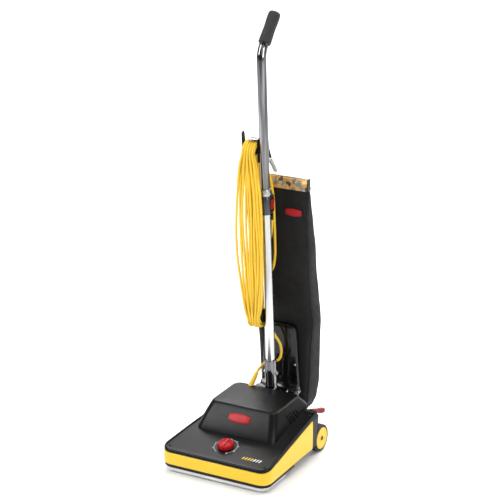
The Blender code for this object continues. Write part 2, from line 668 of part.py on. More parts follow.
def make_handle():
    """Fork, tubes, switch housing and grip."""
    for name, side in (("pivot_pin_left", -1), ("pivot_pin_right", 1)):
        rod(name, (side * 0.0395, PIVOT_Y, PIVOT_Z), (side * 0.0640, PIVOT_Y, PIVOT_Z), 0.006, STEEL)
    socket = lean_with_handle(sleeve("handle_socket", (0, 0, 0.050), (0, 0, SOCKET_TOP),
                                     LOWER_TUBE_RADIUS + GAP, 0.0170, CHROME, 24))
    add(socket, handle_box("fork_bridge", (-0.0500, -0.0125, 0.0400), (0.0500, 0.0125, 0.0560), CHROME))
    for side in (-1, 1):
        leg = sorted((side * 0.0415, side * 0.0495))
        add(socket, handle_box("fork_leg", (leg[0], -0.0118, -0.0130), (leg[1], 0.0118, 0.0450), CHROME))
    boolean(socket, rod("fork_hole", (-0.07, PIVOT_Y, PIVOT_Z), (0.07, PIVOT_Y, PIVOT_Z), 0.006 + GAP,
                        CHROME))
    boolean(socket, rod("bolt_hole", on_handle(-0.05, 0, 0.105), on_handle(0.05, 0, 0.105),
                        0.0030 + GAP, CHROME, 12))
    bolt = [(0, -0.0215), (0.0055, -0.0215), (0.0055, -0.0175), (0.0030, -0.0175), (0.0030, 0.0175),
            (0.0055, 0.0175), (0.0055, 0.0215), (0, 0.0215)]
    turned("socket_bolt", bolt, along(on_handle(0, 0, 0.105), on_handle(1, 0, 0.105)), STEEL, 12)
    lower = lean_with_handle(sleeve("lower_tube", (0, 0, 0.0585), (0, 0, HOUSING_BOTTOM - GAP),
                                    0.0120, LOWER_TUBE_RADIUS, CHROME, 24))
    boolean(lower, rod("tube_bolt_hole", on_handle(-0.05, 0, 0.105), on_handle(0.05, 0, 0.105),
                       0.0030 + GAP, CHROME, 12))
    housing = handle_box("switch_housing", (-0.0160, -0.0165, HOUSING_BOTTOM),
                         (0.0172, 0.0290, HOUSING_TOP), GREY)
    bevel = housing.modifiers.new("edges", 'BEVEL')
    bevel.width = 0.005
    bevel.segments = 2
    add(housing, turned("lead_boss", [(0, 0), (0.0045, 0), (0.0062, 0.020), (0.0062, 0.034), (0, 0.034)],
                        along(on_handle(0.0075, 0.0218, HOUSING_BOTTOM - 0.0243),
                              on_handle(0.0075, 0.0218, HOUSING_TOP)), GREY, 12))
    boolean(housing, handle_box("switch_pocket", (0.0105, -0.0015, 0.5905), (0.03, 0.0135, 0.6235), GREY))
    rocker = [(0.0150, 0.5925), (0.0165, 0.5925), (0.0182, 0.6070), (0.0212, 0.6215), (0.0150, 0.6215)]
    loops = [[(x, n, s) for x, s in rocker] for n in (-0.0008, 0.0128)]
    lean_with_handle(loops_object("rocker_switch", loops, RED))
    lean_with_handle(sleeve("tube_collar", (0, 0, HOUSING_TOP + GAP), (0, 0, COLLAR_TOP),
                            UPPER_TUBE_RADIUS + GAP, 0.0158, STEEL, 24))
    grip_line = Vector((0, GRIP_END[0] - GRIP_START[0], GRIP_END[1] - GRIP_START[1]))
    grip_length = grip_line.length
    grip_line.normalize()
    bend = bend_points(grip_line)
    inside = Vector((0, *GRIP_START)) + grip_line * (grip_length - 0.012)
    path = [(0, 0, HOUSING_TOP + GAP), (0, 0, BEND_START * 0.82), *bend, inside]
    lean_with_handle(bent_tube("upper_tube", path, 0.0112, UPPER_TUBE_RADIUS, CHROME, 18))
    foot = Vector((0, *GRIP_START))
    bore = UPPER_TUBE_RADIUS + GAP
    profile = [(bore, 0), (0.0155, 0), (GRIP_RADIUS, 0.004), (0.0165, 0.045), (GRIP_RADIUS, 0.080),
               (0.0150, grip_length - 0.003), (0.010, grip_length), (0, grip_length),
               (0, grip_length - 0.008), (bore, grip_length - 0.008)]
    place = along(foot, foot + grip_line)
    grip = turned("grip", profile + [profile[0]], place, RUBBER, 24)
    weld(grip)
    return lean_with_handle(grip)


def weld(obj):
    """Merges points that lie on each other."""
    shell = bmesh.new()
    shell.from_mesh(obj.data)
    bmesh.ops.remove_doubles(shell, verts=shell.verts, dist=1e-6)
    bmesh.ops.recalc_face_normals(shell, faces=shell.faces)
    shell.to_mesh(obj.data)
    shell.free()


def bend_points(direction):
    """The tube's bend: an arc from the straight run to the grip's line."""
    angle = atan2(direction.y, direction.z)
    start = Vector((0, *GRIP_START))
    corner_s = start.z - start.y * direction.z / direction.y
    corner = Vector((0, 0, corner_s))
    reach = min(corner_s - BEND_START, (start - corner).length)
    radius = reach / sin(angle / 2) * cos(angle / 2)
    centre = Vector((0, radius, corner_s - reach))
    points = []
    for k in range(9):
        turn = angle * k / 8
        points.append(centre + Vector((0, -radius * cos(turn), radius * sin(turn))))
    return points


def half_round(name, centre, radius, x0, x1, flat, surface):
    """A half-round bar along X, its round side up (flat = 1) or down (flat = -1)."""
    outline = [(radius * cos(pi * k / 10), centre + flat * radius * sin(pi * k / 10)) for k in range(11)]
    return lean_with_handle(prism(name, outline, x0, x1, surface))


def make_cord_hooks():
    """The saddle and the hook that the cord is wound on."""
    inner = HANK_FOLD_RADIUS - HANK_LAYER - GAP
    root, end = HOOK_ROOT_X + GAP, HOOK_END_X - GAP
    saddle = half_round("upper_hook_saddle", HANK_TOP, inner, root, end, 1, CHROME)
    add(saddle, handle_box("saddle_plate", (root - 0.0001, -0.0150, HANK_TOP - 0.012),
                           (-0.0131, 0.0150, HANK_TOP + 0.041), CHROME))
    add(saddle, handle_box("saddle_cap", (-0.0440, -0.0120, HANK_TOP + 0.0360),
                           (-0.0135, 0.0120, HANK_TOP + 0.0390), CHROME))
    handle_box("upper_hook_finger", (end - 0.0075, -0.0060, HANK_TOP - 0.006),
               (end - GAP, 0.0060, HANK_TOP + 0.055), BLACK)
    hook = half_round("lower_hook", HANK_BOTTOM, inner, root, end - 0.0040, -1, BLACK)
    add(hook, handle_box("hook_plate", (root - 0.0001, -0.0150, HANK_BOTTOM - 0.020),
                         (-0.0139, 0.0150, HANK_BOTTOM + 0.020), BLACK))
    add(hook, handle_box("hook_finger", (end - 0.0070, -0.0060, HANK_BOTTOM - 0.037),
                         (end, 0.0060, HANK_BOTTOM), BLACK))


def make_cord():
    """The mains cord: its free start, the hank on the hooks, and the tail with the plug."""
    def hank_section(across_handle, along_handle, normal):
        share = (along_handle - HANK_BOTTOM) / (HANK_TOP - HANK_BOTTOM)
        bulge = HANK_BULGE * max(0.0, sin(pi * min(max(share, 0.0), 1.0))) ** 0.6
        section = []
        for x, depth in ((HOOK_ROOT_X, -1), (HOOK_END_X - bulge, -1), (HOOK_END_X - bulge, 1),
                         (HOOK_ROOT_X, 1)):
            n = across_handle + depth * HANK_LAYER * normal[0]
            s = along_handle + depth * HANK_LAYER * normal[1]
            section.append((x, n, s))
        return section

    loops = []
    for k in range(11):
        angle = pi * k / 10
        normal = (cos(angle), sin(angle))
        loops.append(hank_section(HANK_FOLD_RADIUS * normal[0], HANK_TOP + HANK_FOLD_RADIUS * normal[1],
                                  normal))
    for k in range(1, 8):
        s = HANK_TOP + (HANK_BOTTOM - HANK_TOP) * k / 8
        loops.append(hank_section(-HANK_FOLD_RADIUS, s, (-1, 0)))
    for k in range(11):
        angle = pi + pi * k / 10
        normal = (cos(angle), sin(angle))
        loops.append(hank_section(HANK_FOLD_RADIUS * normal[0],
                                  HANK_BOTTOM + HANK_FOLD_RADIUS * normal[1], normal))
    for k in range(1, 8):
        s = HANK_BOTTOM + (HANK_TOP - HANK_BOTTOM) * k / 8
        loops.append(hank_section(HANK_FOLD_RADIUS, s, (1, 0)))
    lean_with_handle(loops_object("cord_hank", loops, YELLOW_CORD, closed=True))

    relief_top = HOUSING_BOTTOM - GAP
    relief = [(0, 0), (0.0045, 0), (0.0060, 0.018), (0.0062, 0.024), (0, 0.024)]
    turned("cord_relief", relief, along(on_handle(-0.0095, 0.0218, relief_top - 0.024),
                                        on_handle(-0.0095, 0.0218, relief_top)), BLACK, 12)
    start = relief_top - 0.024 - GAP
    stops = [(-0.0095, 0.0218, start), (-0.0094, 0.0240, 0.535), (-0.0094, 0.0325, 0.512),
             (-0.0170, 0.0394, 0.490), (-0.0360, 0.0396, 0.469), (-0.0565, 0.0393, 0.436),
             (-0.0500, 0.0392, 0.400), (-0.0280, 0.0392, 0.385), (-0.0070, 0.0390, 0.403),
             (0.0030, 0.0375, 0.443), (0.0060, 0.0348, 0.500), (0.0060, 0.0342, 0.560),
             (0.0050, 0.0340, 0.615), (0.0020, 0.0305, 0.657), (-0.0035, 0.0255, 0.690),
             (-0.0122, 0.0230, 0.715)]
    cord_object("cord_start", [on_handle(*stop) for stop in stops])
    tail = [(-0.0203, 0.0386, 0.3100), (-0.0203, 0.0391, 0.3200)]
    for k in range(13):
        angle = pi * k / 12
        tail.append((-0.0443 + TAIL_TURN * cos(angle), 0.0392, 0.3300 + TAIL_TURN * sin(angle)))
    tail += [(-0.0683, 0.0400, 0.3180), (-0.0683, 0.0418, 0.3050)]
    cord_object("cord_tail", [on_handle(*stop) for stop in tail])
    plug_top = on_handle(-0.0683, 0.0419, 0.3043)
    plug_foot = on_handle(-0.0683, 0.0505, 0.2557)
    body = [(0, 0), (0.0048, 0), (0.0060, 0.012), (0.0115, 0.020), (0.0125, 0.034), (0.0125, 0.044),
            (0, 0.044)]
    plug = turned("cord_plug", body, along(plug_top, plug_foot), BLACK, 16)
    line = (plug_foot - plug_top).normalized()
    for x in (-0.0063, 0.0063):
        foot = plug_top + line * 0.043 + Vector((x, 0, 0))
        add(plug, rod("plug_pin", foot, foot + line * 0.016, 0.0016, STEEL, 8))

    lead = [RELIEF_TIP, (-0.0395, 0.0865, 0.2110), (-0.0235, 0.1010, 0.2300), (0.0040, 0.1130, 0.2520),
            (0.0255, 0.1140, 0.2840), (0.0235, 0.1070, 0.3230), (0.0100, 0.1000, 0.3600),
            (0.0070, 0.0960, 0.4000)]
    line = Vector(lead[1]) - Vector(RELIEF_TIP)
    lead[0] = Vector(RELIEF_TIP) + line.normalized() * 0.0006
    for s in (0.340, 0.400, 0.460, 0.520, start):
        lead.append(on_handle(0.0075, 0.0206 if s < start else 0.0218, s))
    cord_object("power_lead", lead)


# ---- bag ----------------------------------------------------------------------------------------
# height, half width, front and rear of the cloth bag
BAG_STATIONS = [(0.0620, 0.040, 0.190, 0.215), (0.0700, 0.072, 0.172, 0.232), (0.1000, 0.086, 0.158, 0.242),
                (0.1500, 0.091, 0.1507, 0.245), (0.2500, 0.093, 0.1507, 0.240),
                (0.3420, 0.094, 0.1507, 0.229), (0.4200, 0.095, 0.1330, 0.213),
                (0.5400, 0.096, 0.1130, 0.186), (0.6400, 0.098, 0.1045, 0.160),
                (0.7200, 0.099, 0.1020, 0.134), (0.7750, 0.099, 0.1060, 0.116)]
BAG_WALL = 0.003


def bag_loop(station, inset, sides=20):
    """One level of the bag: a flattened oval."""
    height, half, front, rear = station
    middle = (front + rear) / 2
    depth = max((rear - front) / 2 - inset, 0.0015)
    loop = []
    for k in range(sides):
        angle = 2 * pi * (k + 0.5) / sides
        c, s = cos(angle), sin(angle)
        x = (half - inset) * abs(c) ** 0.45 * (1 if c > 0 else -1)
        y = middle + depth * abs(s) ** 0.75 * (1 if s > 0 else -1)
        loop.append((x, y, height))
    return loop


def bag_solid(name, inset, low, high, surface):
    """The bag's outer form, drawn in by an inset, between two heights."""
    stations = [s for s in BAG_STATIONS if low <= s[0] <= high]
    return loops_object(name, [bag_loop(s, inset) for s in stations], surface)


def make_bag():
    """Cloth bag with its paper liner, top clip, spring and the duct behind the handle."""
    bag = bag_solid("dust_bag", 0.0, 0.0, 1.0, FABRIC)
    boolean(bag, bag_solid("bag_inside", BAG_WALL, 0.065, 0.73, FABRIC))
    window_low, window_high = 0.205, 0.295
    cut(bag, (-0.0305, 0.14, window_low), (0.0305, 0.17, window_high))
    liner = bag_solid("filter_bag", 0.014, 0.11, 0.60, PAPER)
    boolean(liner, bag_solid("liner_inside", 0.0155, 0.14, 0.50, PAPER))
    cut(liner, (-0.0270, 0.14, window_low + 0.0035), (0.0270, 0.19, window_high - 0.0035))
    clip = box("bag_top_clip", (-0.0985, 0.1040, 0.7753), (0.0985, 0.1180, 0.7810), STEEL)
    add(clip, bent_bar("bag_hanger", [(-0.004, 0.1110, 0.7800), (-0.0035, 0.1105, 0.7860),
                                      (0, 0.1098, 0.7878), (0.0035, 0.1105, 0.7860),
                                      (0.004, 0.1110, 0.7800)], 0.0009, STEEL, 6))
    spring_top, spring_foot = Vector((0, 0.0725, 0.8335)), Vector((0, 0.1062, 0.7902))
    sleeve("bag_spring", spring_foot, spring_top, 0.0042, 0.0060, STEEL, 12)
    strap = [(0.0530, 0.8900), (0.0560, 0.8900), (0.0580, 0.8700), (0.0735, 0.8370), (0.0710, 0.8360),
             (0.0553, 0.8690)]
    prism("spring_bracket", strap, -0.0040, 0.0040, BLACK)

    outline = [(0.1340, 0.3380), (0.1500, 0.3380), (0.1500, 0.1253), (0.1120, 0.1253), (0.1120, 0.1400),
               (0.1340, 0.1600)]
    hollow = [(0.1365, 0.3340), (0.1475, 0.3340), (0.1475, 0.1283), (0.1145, 0.1283), (0.1145, 0.1390),
              (0.1365, 0.1590)]
    duct = prism("exhaust_duct", outline, -1.0, 1.0, GLOSS_BLACK)
    inside = prism("duct_inside", hollow, -1.0, 1.0, GLOSS_BLACK)
    for piece, wall in ((duct, 0.0), (inside, 0.0025)):
        for vertex in piece.data.vertices:
            half = 0.060 - 0.012 * max(0.0, vertex.co.z - 0.160) / 0.178 - wall
            if vertex.co.y < 0.130:
                half = 0.036 - wall
            vertex.co.x = half if vertex.co.x > 0 else -half
    boolean(duct, inside)
    add(duct, box("bag_collar", (-0.0300, 0.1490, window_low + 0.0005),
                  (0.0300, 0.1640, window_high - 0.0005), GLOSS_BLACK))
    cut(duct, (-0.0270, 0.142, window_low + 0.0035), (0.0270, 0.18, window_high - 0.0035))
    boolean(duct, rod("duct_inlet", (0, 0.131, 0.10), (0, 0.131, 0.132), 0.0140, BLACK))
    stops = [(0, 0.0600, 0.0850), (0, 0.0720, 0.0850), (0, 0.0960, 0.0865), (0, 0.1180, 0.0960),
             (0, 0.1302, 0.1120), (0, 0.1310, 0.1200), (0, 0.1310, 0.1245)]
    bent_tube("exhaust_boot", smooth_route(stops, 0.012), 0.0135, 0.0160, RUBBER, 12)
    box("duct_clip", (0.0604, 0.1300, 0.1370), (0.0624, 0.1480, 0.1560), STEEL)


make_base_housing()
make_top_deck()
make_bumper()
make_bottom_plate()
make_motor_cover()
make_lead_relief()
make_motor()
make_belt()
make_brush_roll()
make_height_control()
make_wheels()
make_foot_pedal()
make_handle()
make_cord_hooks()
make_cord()
make_bag()
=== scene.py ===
"""Looks of a commercial upright vacuum cleaner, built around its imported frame."""

import json
from math import atan2, cos, pi, radians, sin, sqrt

import bmesh
import bpy
from mathutils import Matrix, Vector, noise


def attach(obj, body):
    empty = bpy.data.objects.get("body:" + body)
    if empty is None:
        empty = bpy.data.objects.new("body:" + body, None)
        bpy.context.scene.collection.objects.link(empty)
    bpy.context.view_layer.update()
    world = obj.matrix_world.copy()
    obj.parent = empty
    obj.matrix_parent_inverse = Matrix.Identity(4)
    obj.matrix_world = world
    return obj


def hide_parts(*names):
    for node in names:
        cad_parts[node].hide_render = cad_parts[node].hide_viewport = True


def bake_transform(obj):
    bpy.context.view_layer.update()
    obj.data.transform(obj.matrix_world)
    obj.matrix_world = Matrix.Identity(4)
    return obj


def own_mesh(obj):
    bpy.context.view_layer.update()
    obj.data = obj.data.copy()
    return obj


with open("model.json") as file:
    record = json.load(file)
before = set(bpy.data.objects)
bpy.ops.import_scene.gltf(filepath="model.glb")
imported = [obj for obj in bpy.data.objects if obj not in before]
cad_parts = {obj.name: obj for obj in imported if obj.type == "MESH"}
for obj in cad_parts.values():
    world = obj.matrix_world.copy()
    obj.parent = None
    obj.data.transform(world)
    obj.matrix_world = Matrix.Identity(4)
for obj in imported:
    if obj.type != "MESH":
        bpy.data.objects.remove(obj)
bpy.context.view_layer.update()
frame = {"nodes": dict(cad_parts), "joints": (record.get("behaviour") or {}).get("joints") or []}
JOINTS = {joint["name"]: joint for joint in frame["joints"]}

# ---- driving places, in metres, in the frame's own axes ------------------------------------------
PIVOT = Vector(JOINTS["handle_recline"]["pos_m"])
HANDLE_LEAN = radians(3.7)
LEAN = Matrix.Translation(PIVOT) @ Matrix.Rotation(HANDLE_LEAN, 4, 'X')
DECK_SLOPE = 0.2216
FRONT_Y = -0.245
REAR_Y = 0.056
HALF_WIDTH = 0.1675
CORNER = 0.03
DECK_FOOT = 0.0593                      # deck's underside at the front
DECK_THICKNESS = 0.005
KNOB_Y = -0.173
STRIPES_Y = -0.203
PRINT_ROOT, PRINT_LIFT = 0.0005, 0.00012    # printed marks, below and above the paint
CORD_RADIUS = 0.00375
HANK_TOP = 0.752                        # centre of the upper fold, along the handle
HANK_BOTTOM = 0.2765
HANK_MIDDLE = 0.0265                    # radius between the two layers
HANK_LAYER = 0.00375
LANE_START = -0.0203
LANE_PITCH = 0.0076
TAIL_TURN = 0.024                       # radius of the cord's last bend, before the plug
CORD_EXIT = (-0.0095, 0.0218, 0.5554)   # under the switch housing
LEAD_END = (0.0075, 0.0218, 0.5554)
RELIEF_FOOT = Vector((-0.057, 0.052, 0.15))    # the lead's tapered relief, in the motor cover
RELIEF_TIP = Vector((-0.0437, 0.0795, 0.2007))
WHEEL_AXLE = (0.087, 0.039)             # behind the base's middle, and up
BOLT_UP = 0.105                         # the socket bolt, along the handle
PEDAL_X = 0.1258
CHAMBER_END_Y = -0.155                  # the flank is full width in front of this
FLANK_START_Y, FLANK_END_Y = -0.215, -0.069
FLANK_SLOPE = 0.225
LINER_GAP = 0.014                       # between the cloth and the paper bag
HARD_EDGE = 32.0                        # degrees between faces that count as an edge
CAMERA_PLACE = (2.26395, -4.06325, 2.10589)
CAMERA_TARGET = (0, -0.039, 0.605)
CAMERA_LENS = 129.55


def on_handle(x, behind, up):
    """A place in the handle's own frame: across, behind its axis, and up from the pivot."""
    return LEAN @ Vector((x, behind, up))


def deck_line(y):
    """Height of the deck's underside."""
    return DECK_FOOT + DECK_SLOPE * (y - FRONT_Y)


def on_deck(x, y):
    """The matrix that stands on the deck's face, Z square to it."""
    foot = Vector((x, y, deck_line(y) + DECK_THICKNESS))
    upright = Vector((0, -DECK_SLOPE, 1)).to_track_quat('Z', 'Y')
    return Matrix.Translation(foot) @ upright.to_matrix().to_4x4()


def signed_power(value, exponent):
    """A power that keeps the sign, for outlines between an ellipse and a rectangle."""
    return abs(value) ** exponent * (1 if value > 0 else -1)


def draw_in_flank(point):
    """The left flank runs inwards behind the brush chamber."""
    x, y, z = point
    share = min(max((y - CHAMBER_END_Y) / 0.086, 0.0), 1.0)
    held = 0.1485 - 0.018 * share       # nothing nearer the middle moves
    if x < -held:
        width = HALF_WIDTH - FLANK_SLOPE * (min(max(y, FLANK_START_Y), FLANK_END_Y) - FLANK_START_Y)
        x = -held + (x + held) * (width - held) / (HALF_WIDTH - held)
    return Vector((x, y, z))


# ---- materials ----------------------------------------------------------------------------------
def add_node(tree, kind, values=None, **settings):
    """A shader node with its settings and the values of its sockets."""
    node = tree.nodes.new(kind)
    for key, value in settings.items():
        setattr(node, key, value)
    for key, value in (values or {}).items():
        node.inputs[key].default_value = value
    return node


def mix_colours(tree, share, first, second):
    """Blends two colours, each a socket or plain numbers, by a share socket."""
    mix = add_node(tree, 'ShaderNodeMix', data_type='RGBA')
    tree.links.new(share, mix.inputs[0])
    for place, colour in ((6, first), (7, second)):
        if hasattr(colour, "is_output"):
            tree.links.new(colour, mix.inputs[place])
        else:
            mix.inputs[place].default_value = (*colour, 1.0)
    return mix.outputs[2]


def map_range(tree, source, low, high, to_low, to_high):
    """Stretches a socket's value from one span to another."""
    node = add_node(tree, 'ShaderNodeMapRange')
    for place, value in enumerate((low, high, to_low, to_high), 1):
        node.inputs[place].default_value = value
    tree.links.new(source, node.inputs[0])
    return node.outputs[0]


def arithmetic(tree, operation, first, second):
    """One Math node; the second operand may be a number."""
    node = add_node(tree, 'ShaderNodeMath', operation=operation)
    tree.links.new(first, node.inputs[0])
    if hasattr(second, "is_output"):
        tree.links.new(second, node.inputs[1])
    else:
        node.inputs[1].default_value = second
    return node.outputs[0]


def noise_field(tree, place, scale, detail=3.0, stretch=(1, 1, 1)):
    """A noise socket in object coordinates."""
    mapping = add_node(tree, 'ShaderNodeMapping')
    mapping.inputs['Scale'].default_value = stretch
    tree.links.new(place, mapping.inputs['Vector'])
    field = add_node(tree, 'ShaderNodeTexNoise', {'Scale': scale, 'Detail': detail})
    tree.links.new(mapping.outputs[0], field.inputs['Vector'])
    return field.outputs[0]


def shade(colour, factor):
    """A colour made lighter or darker."""
    return tuple(min(1.0, c * factor) for c in colour)


def surface(name, colour, roughness, metallic=0.0, vary=0.1, patch=14.0, grain=1500.0, depth=0.00002,
            spread=0.06, wear=0.0, worn=None, coat=0.0, coat_roughness=0.1, specular=0.5,
            stretch=(1, 1, 1), sheen=0.0, relief=None):
    """A moulded, painted or plated material with uneven colour and gloss, fine grain and rubbed edges."""
    made = bpy.data.materials.new(name)
    made.use_nodes = True
    tree = made.node_tree
    shader = tree.nodes["Principled BSDF"]
    place = add_node(tree, 'ShaderNodeTexCoord').outputs['Object']
    broad = noise_field(tree, place, patch, 4.0, stretch)
    tone = mix_colours(tree, map_range(tree, broad, 0.3, 0.7, 0.0, 1.0), shade(colour, 1 - vary),
                       shade(colour, 1 + vary))
    gloss = map_range(tree, noise_field(tree, place, patch * 5, 3.0, stretch), 0.3, 0.7,
                      max(0.02, roughness - spread), roughness + spread)
    if wear:
        edge = add_node(tree, 'ShaderNodeNewGeometry').outputs['Pointiness']
        rubbed = map_range(tree, edge, 0.515, 0.6, 0.0, wear)
        scuffs = map_range(tree, noise_field(tree, place, 160.0, 4.0), 0.45, 0.65, 0.2, 1.0)
        share = arithmetic(tree, 'MULTIPLY', rubbed, scuffs)
        tone = mix_colours(tree, share, tone, worn or shade(colour, 2.2))
        gloss = arithmetic(tree, 'ADD', gloss, arithmetic(tree, 'MULTIPLY', share, 0.2))
    height = noise_field(tree, place, grain, 2.0, stretch)
    if relief:
        height = relief(tree, place, height)
    bump = add_node(tree, 'ShaderNodeBump', {'Strength': 0.9, 'Distance': depth})
    tree.links.new(height, bump.inputs['Height'])
    tree.links.new(tone, shader.inputs['Base Color'])
    tree.links.new(gloss, shader.inputs['Roughness'])
    tree.links.new(bump.outputs[0], shader.inputs['Normal'])
    shader.inputs['Metallic'].default_value = metallic
    shader.inputs['Specular IOR Level'].default_value = specular
    shader.inputs['Coat Weight'].default_value = coat
    shader.inputs['Coat Roughness'].default_value = coat_roughness
    shader.inputs['Sheen Weight'].default_value = sheen
    return made


def twill(tree, place, grain):
    """Relief of a diagonal weave: ribs along one diagonal, crossed by finer threads."""
    total = None
    for mirror, scale, share in ((1, 520.0, 0.7), (-1, 1150.0, 0.3)):
        mapping = add_node(tree, 'ShaderNodeMapping')
        mapping.inputs['Scale'].default_value = (mirror, mirror, 1)
        tree.links.new(place, mapping.inputs['Vector'])
        ribs = add_node(tree, 'ShaderNodeTexWave', {'Scale': scale / 20, 'Distortion': 0.6,
                                                    'Detail Scale': 6.0},
                        wave_type='BANDS', bands_direction='DIAGONAL')
        tree.links.new(mapping.outputs[0], ribs.inputs['Vector'])
        part = arithmetic(tree, 'MULTIPLY', ribs.outputs[1], share)
        total = part if total is None else arithmetic(tree, 'ADD', total, part)
    return arithmetic(tree, 'ADD', total, arithmetic(tree, 'MULTIPLY', grain, 0.4))


def patterned_foil(name):
    """Printed closure strip: patches of gold, grey and brown under a satin film."""
    made = surface(name, (0.62, 0.36, 0.1), 0.38, 0.25, coat=0.3, depth=0.00004)
    tree = made.node_tree
    shader = tree.nodes["Principled BSDF"]
    place = add_node(tree, 'ShaderNodeTexCoord').outputs['Object']
    cells = add_node(tree, 'ShaderNodeTexVoronoi', {'Scale': 85.0, 'Randomness': 1.0})
    warp = add_node(tree, 'ShaderNodeTexNoise', {'Scale': 90.0, 'Detail': 2.0, 'Distortion': 0.5})
    tree.links.new(place, warp.inputs['Vector'])
    moved = add_node(tree, 'ShaderNodeVectorMath', operation='MULTIPLY_ADD')
    tree.links.new(warp.outputs[1], moved.inputs[0])
    moved.inputs[1].default_value = (0.008, 0.008, 0.008)
    tree.links.new(place, moved.inputs[2])
    tree.links.new(moved.outputs[0], cells.inputs['Vector'])
    ramp = add_node(tree, 'ShaderNodeValToRGB')
    ramp.color_ramp.interpolation = 'CONSTANT'
    stops = ((0.0, (0.6, 0.33, 0.08)), (0.3, (0.24, 0.22, 0.18)), (0.45, (0.66, 0.4, 0.13)),
             (0.62, (0.09, 0.05, 0.03)), (0.72, (0.42, 0.4, 0.34)), (0.86, (0.52, 0.28, 0.07)))
    for index, (position, colour) in enumerate(stops):
        if index > 1:
            ramp.color_ramp.elements.new(position)
        ramp.color_ramp.elements[index].position = position
        ramp.color_ramp.elements[index].color = (*colour, 1.0)
    split = add_node(tree, 'ShaderNodeSeparateColor')
    tree.links.new(cells.outputs['Color'], split.inputs[0])
    tree.links.new(split.outputs[0], ramp.inputs[0])
    tree.links.new(ramp.outputs[0], shader.inputs['Base Color'])
    return made


YELLOW = surface("yellow_moulding", (0.86, 0.54, 0.012), 0.36, vary=0.03, depth=0.000012, wear=0.3,
                 worn=(0.97, 0.72, 0.12), coat=0.1, coat_roughness=0.2)
CORD = surface("yellow_cord_jacket", (0.86, 0.55, 0.022), 0.38, vary=0.06, patch=22.0, grain=700.0,
               depth=0.00005, coat=0.2, coat_roughness=0.25)
BLACK_PAINT = surface("black_powder_paint", (0.0036, 0.0038, 0.004), 0.34, vary=0.12, grain=2600.0,
                      depth=0.00004, wear=0.25, worn=(0.025, 0.025, 0.025), spread=0.02, specular=0.19)
BLACK = surface("black_moulding", (0.006, 0.006, 0.006), 0.38, vary=0.2, grain=2200.0, depth=0.00003,
                wear=0.4, worn=(0.05, 0.05, 0.05), specular=0.28)
GLOSS = surface("gloss_black_moulding", (0.005, 0.005, 0.005), 0.14, vary=0.2, patch=30.0, grain=90.0,
                depth=0.00006, spread=0.03, coat=0.2, coat_roughness=0.05, specular=0.3)
RUBBER = surface("black_rubber", (0.014, 0.014, 0.014), 0.62, vary=0.25, grain=1800.0, depth=0.00005,
                 wear=0.5, worn=(0.06, 0.06, 0.06))
TYRE = surface("tyre_rubber", (0.016, 0.016, 0.016), 0.7, vary=0.3, grain=1200.0, depth=0.00006,
               wear=0.6, worn=(0.08, 0.075, 0.07))
CLOTH = surface("black_twill", (0.006, 0.0062, 0.006), 0.75, vary=0.3, patch=9.0, grain=2400.0,
                depth=0.00035, sheen=0.02, specular=0.28, relief=twill)
PAPER = surface("filter_paper", (0.62, 0.53, 0.4), 0.85, vary=0.08, grain=900.0, depth=0.0001)
RED = surface("red_moulding", (0.4, 0.006, 0.012), 0.36, vary=0.08, wear=0.1, worn=(0.5, 0.04, 0.05),
              specular=0.22)
DARK_RED = surface("dark_red_moulding", (0.19, 0.004, 0.007), 0.4, vary=0.1, wear=0.1,
                   worn=(0.3, 0.03, 0.03), specular=0.15)
# painted reflection: the large vary, with its noise stretched along Z, paints dark and bright streaks into
# the colour along the upper tube, socket, saddle and latch
CHROME = surface("polished_chrome_painted_reflections", (0.22, 0.22, 0.23), 0.09, 1.0, vary=0.9, patch=70.0, grain=260.0,
                 depth=0.00001, spread=0.03, stretch=(1, 1, 0.02))
# painted reflection: noise stretched along Z, with vary 0.35, paints darker and lighter streaks into the
# colour along the lower tube
SATIN = surface("satin_chrome_painted_reflections", (0.62, 0.63, 0.64), 0.2, 1.0, vary=0.35, patch=80.0, grain=900.0,
                depth=0.00001, spread=0.05, stretch=(1, 1, 0.02))
STEEL = surface("brushed_steel", (0.5, 0.5, 0.5), 0.32, 1.0, vary=0.08, grain=1400.0, depth=0.00002,
                stretch=(0.05, 1, 1), wear=0.2, worn=(0.85, 0.85, 0.85))
SOLE = surface("pale_sole", (0.66, 0.67, 0.66), 0.42, 0.35, vary=0.08, grain=900.0, depth=0.00004,
               wear=0.3, worn=(0.4, 0.4, 0.38))
GREY = surface("grey_moulding", (0.075, 0.077, 0.08), 0.3, 0.6, vary=0.15, grain=1500.0, depth=0.00003)
COPPER = surface("copper_winding", (0.72, 0.33, 0.16), 0.34, 1.0, vary=0.15, grain=900.0, depth=0.0002,
                 stretch=(0.05, 1, 1))
WOOD = surface("turned_beech", (0.45, 0.27, 0.12), 0.5, vary=0.25, patch=60.0, grain=300.0, depth=0.00015,
               stretch=(0.06, 1, 1))
FOIL = patterned_foil("closure_print")
WHITE = surface("white_print", (0.8, 0.8, 0.8), 0.5, vary=0.08, patch=400.0)
YELLOW_PRINT = surface("yellow_print", (0.85, 0.58, 0.05), 0.5, vary=0.08, patch=400.0)
THREAD = surface("black_thread", (0.03, 0.03, 0.03), 0.8, vary=0.3, patch=300.0, depth=0.0001)


# ---- mesh tools ---------------------------------------------------------------------------------
def mesh_object(name, points, faces):
    """An object of these points and faces, facing out."""
    mesh = bpy.data.meshes.new(name)
    mesh.from_pydata([tuple(p) for p in points], [], faces)
    shell = bmesh.new()
    shell.from_mesh(mesh)
    bmesh.ops.recalc_face_normals(shell, faces=shell.faces)
    shell.to_mesh(mesh)
    shell.free()
    obj = bpy.data.objects.new(name, mesh)
    bpy.context.collection.objects.link(obj)
    return obj


def round_edges(obj, width, segments):
    """Rounds an object's hard edges."""
    edges = obj.modifiers.new("edges", 'BEVEL')
    edges.width = width
    edges.segments = segments
    edges.limit_method = 'ANGLE'
    edges.angle_limit = radians(HARD_EDGE)
    edges.harden_normals = True


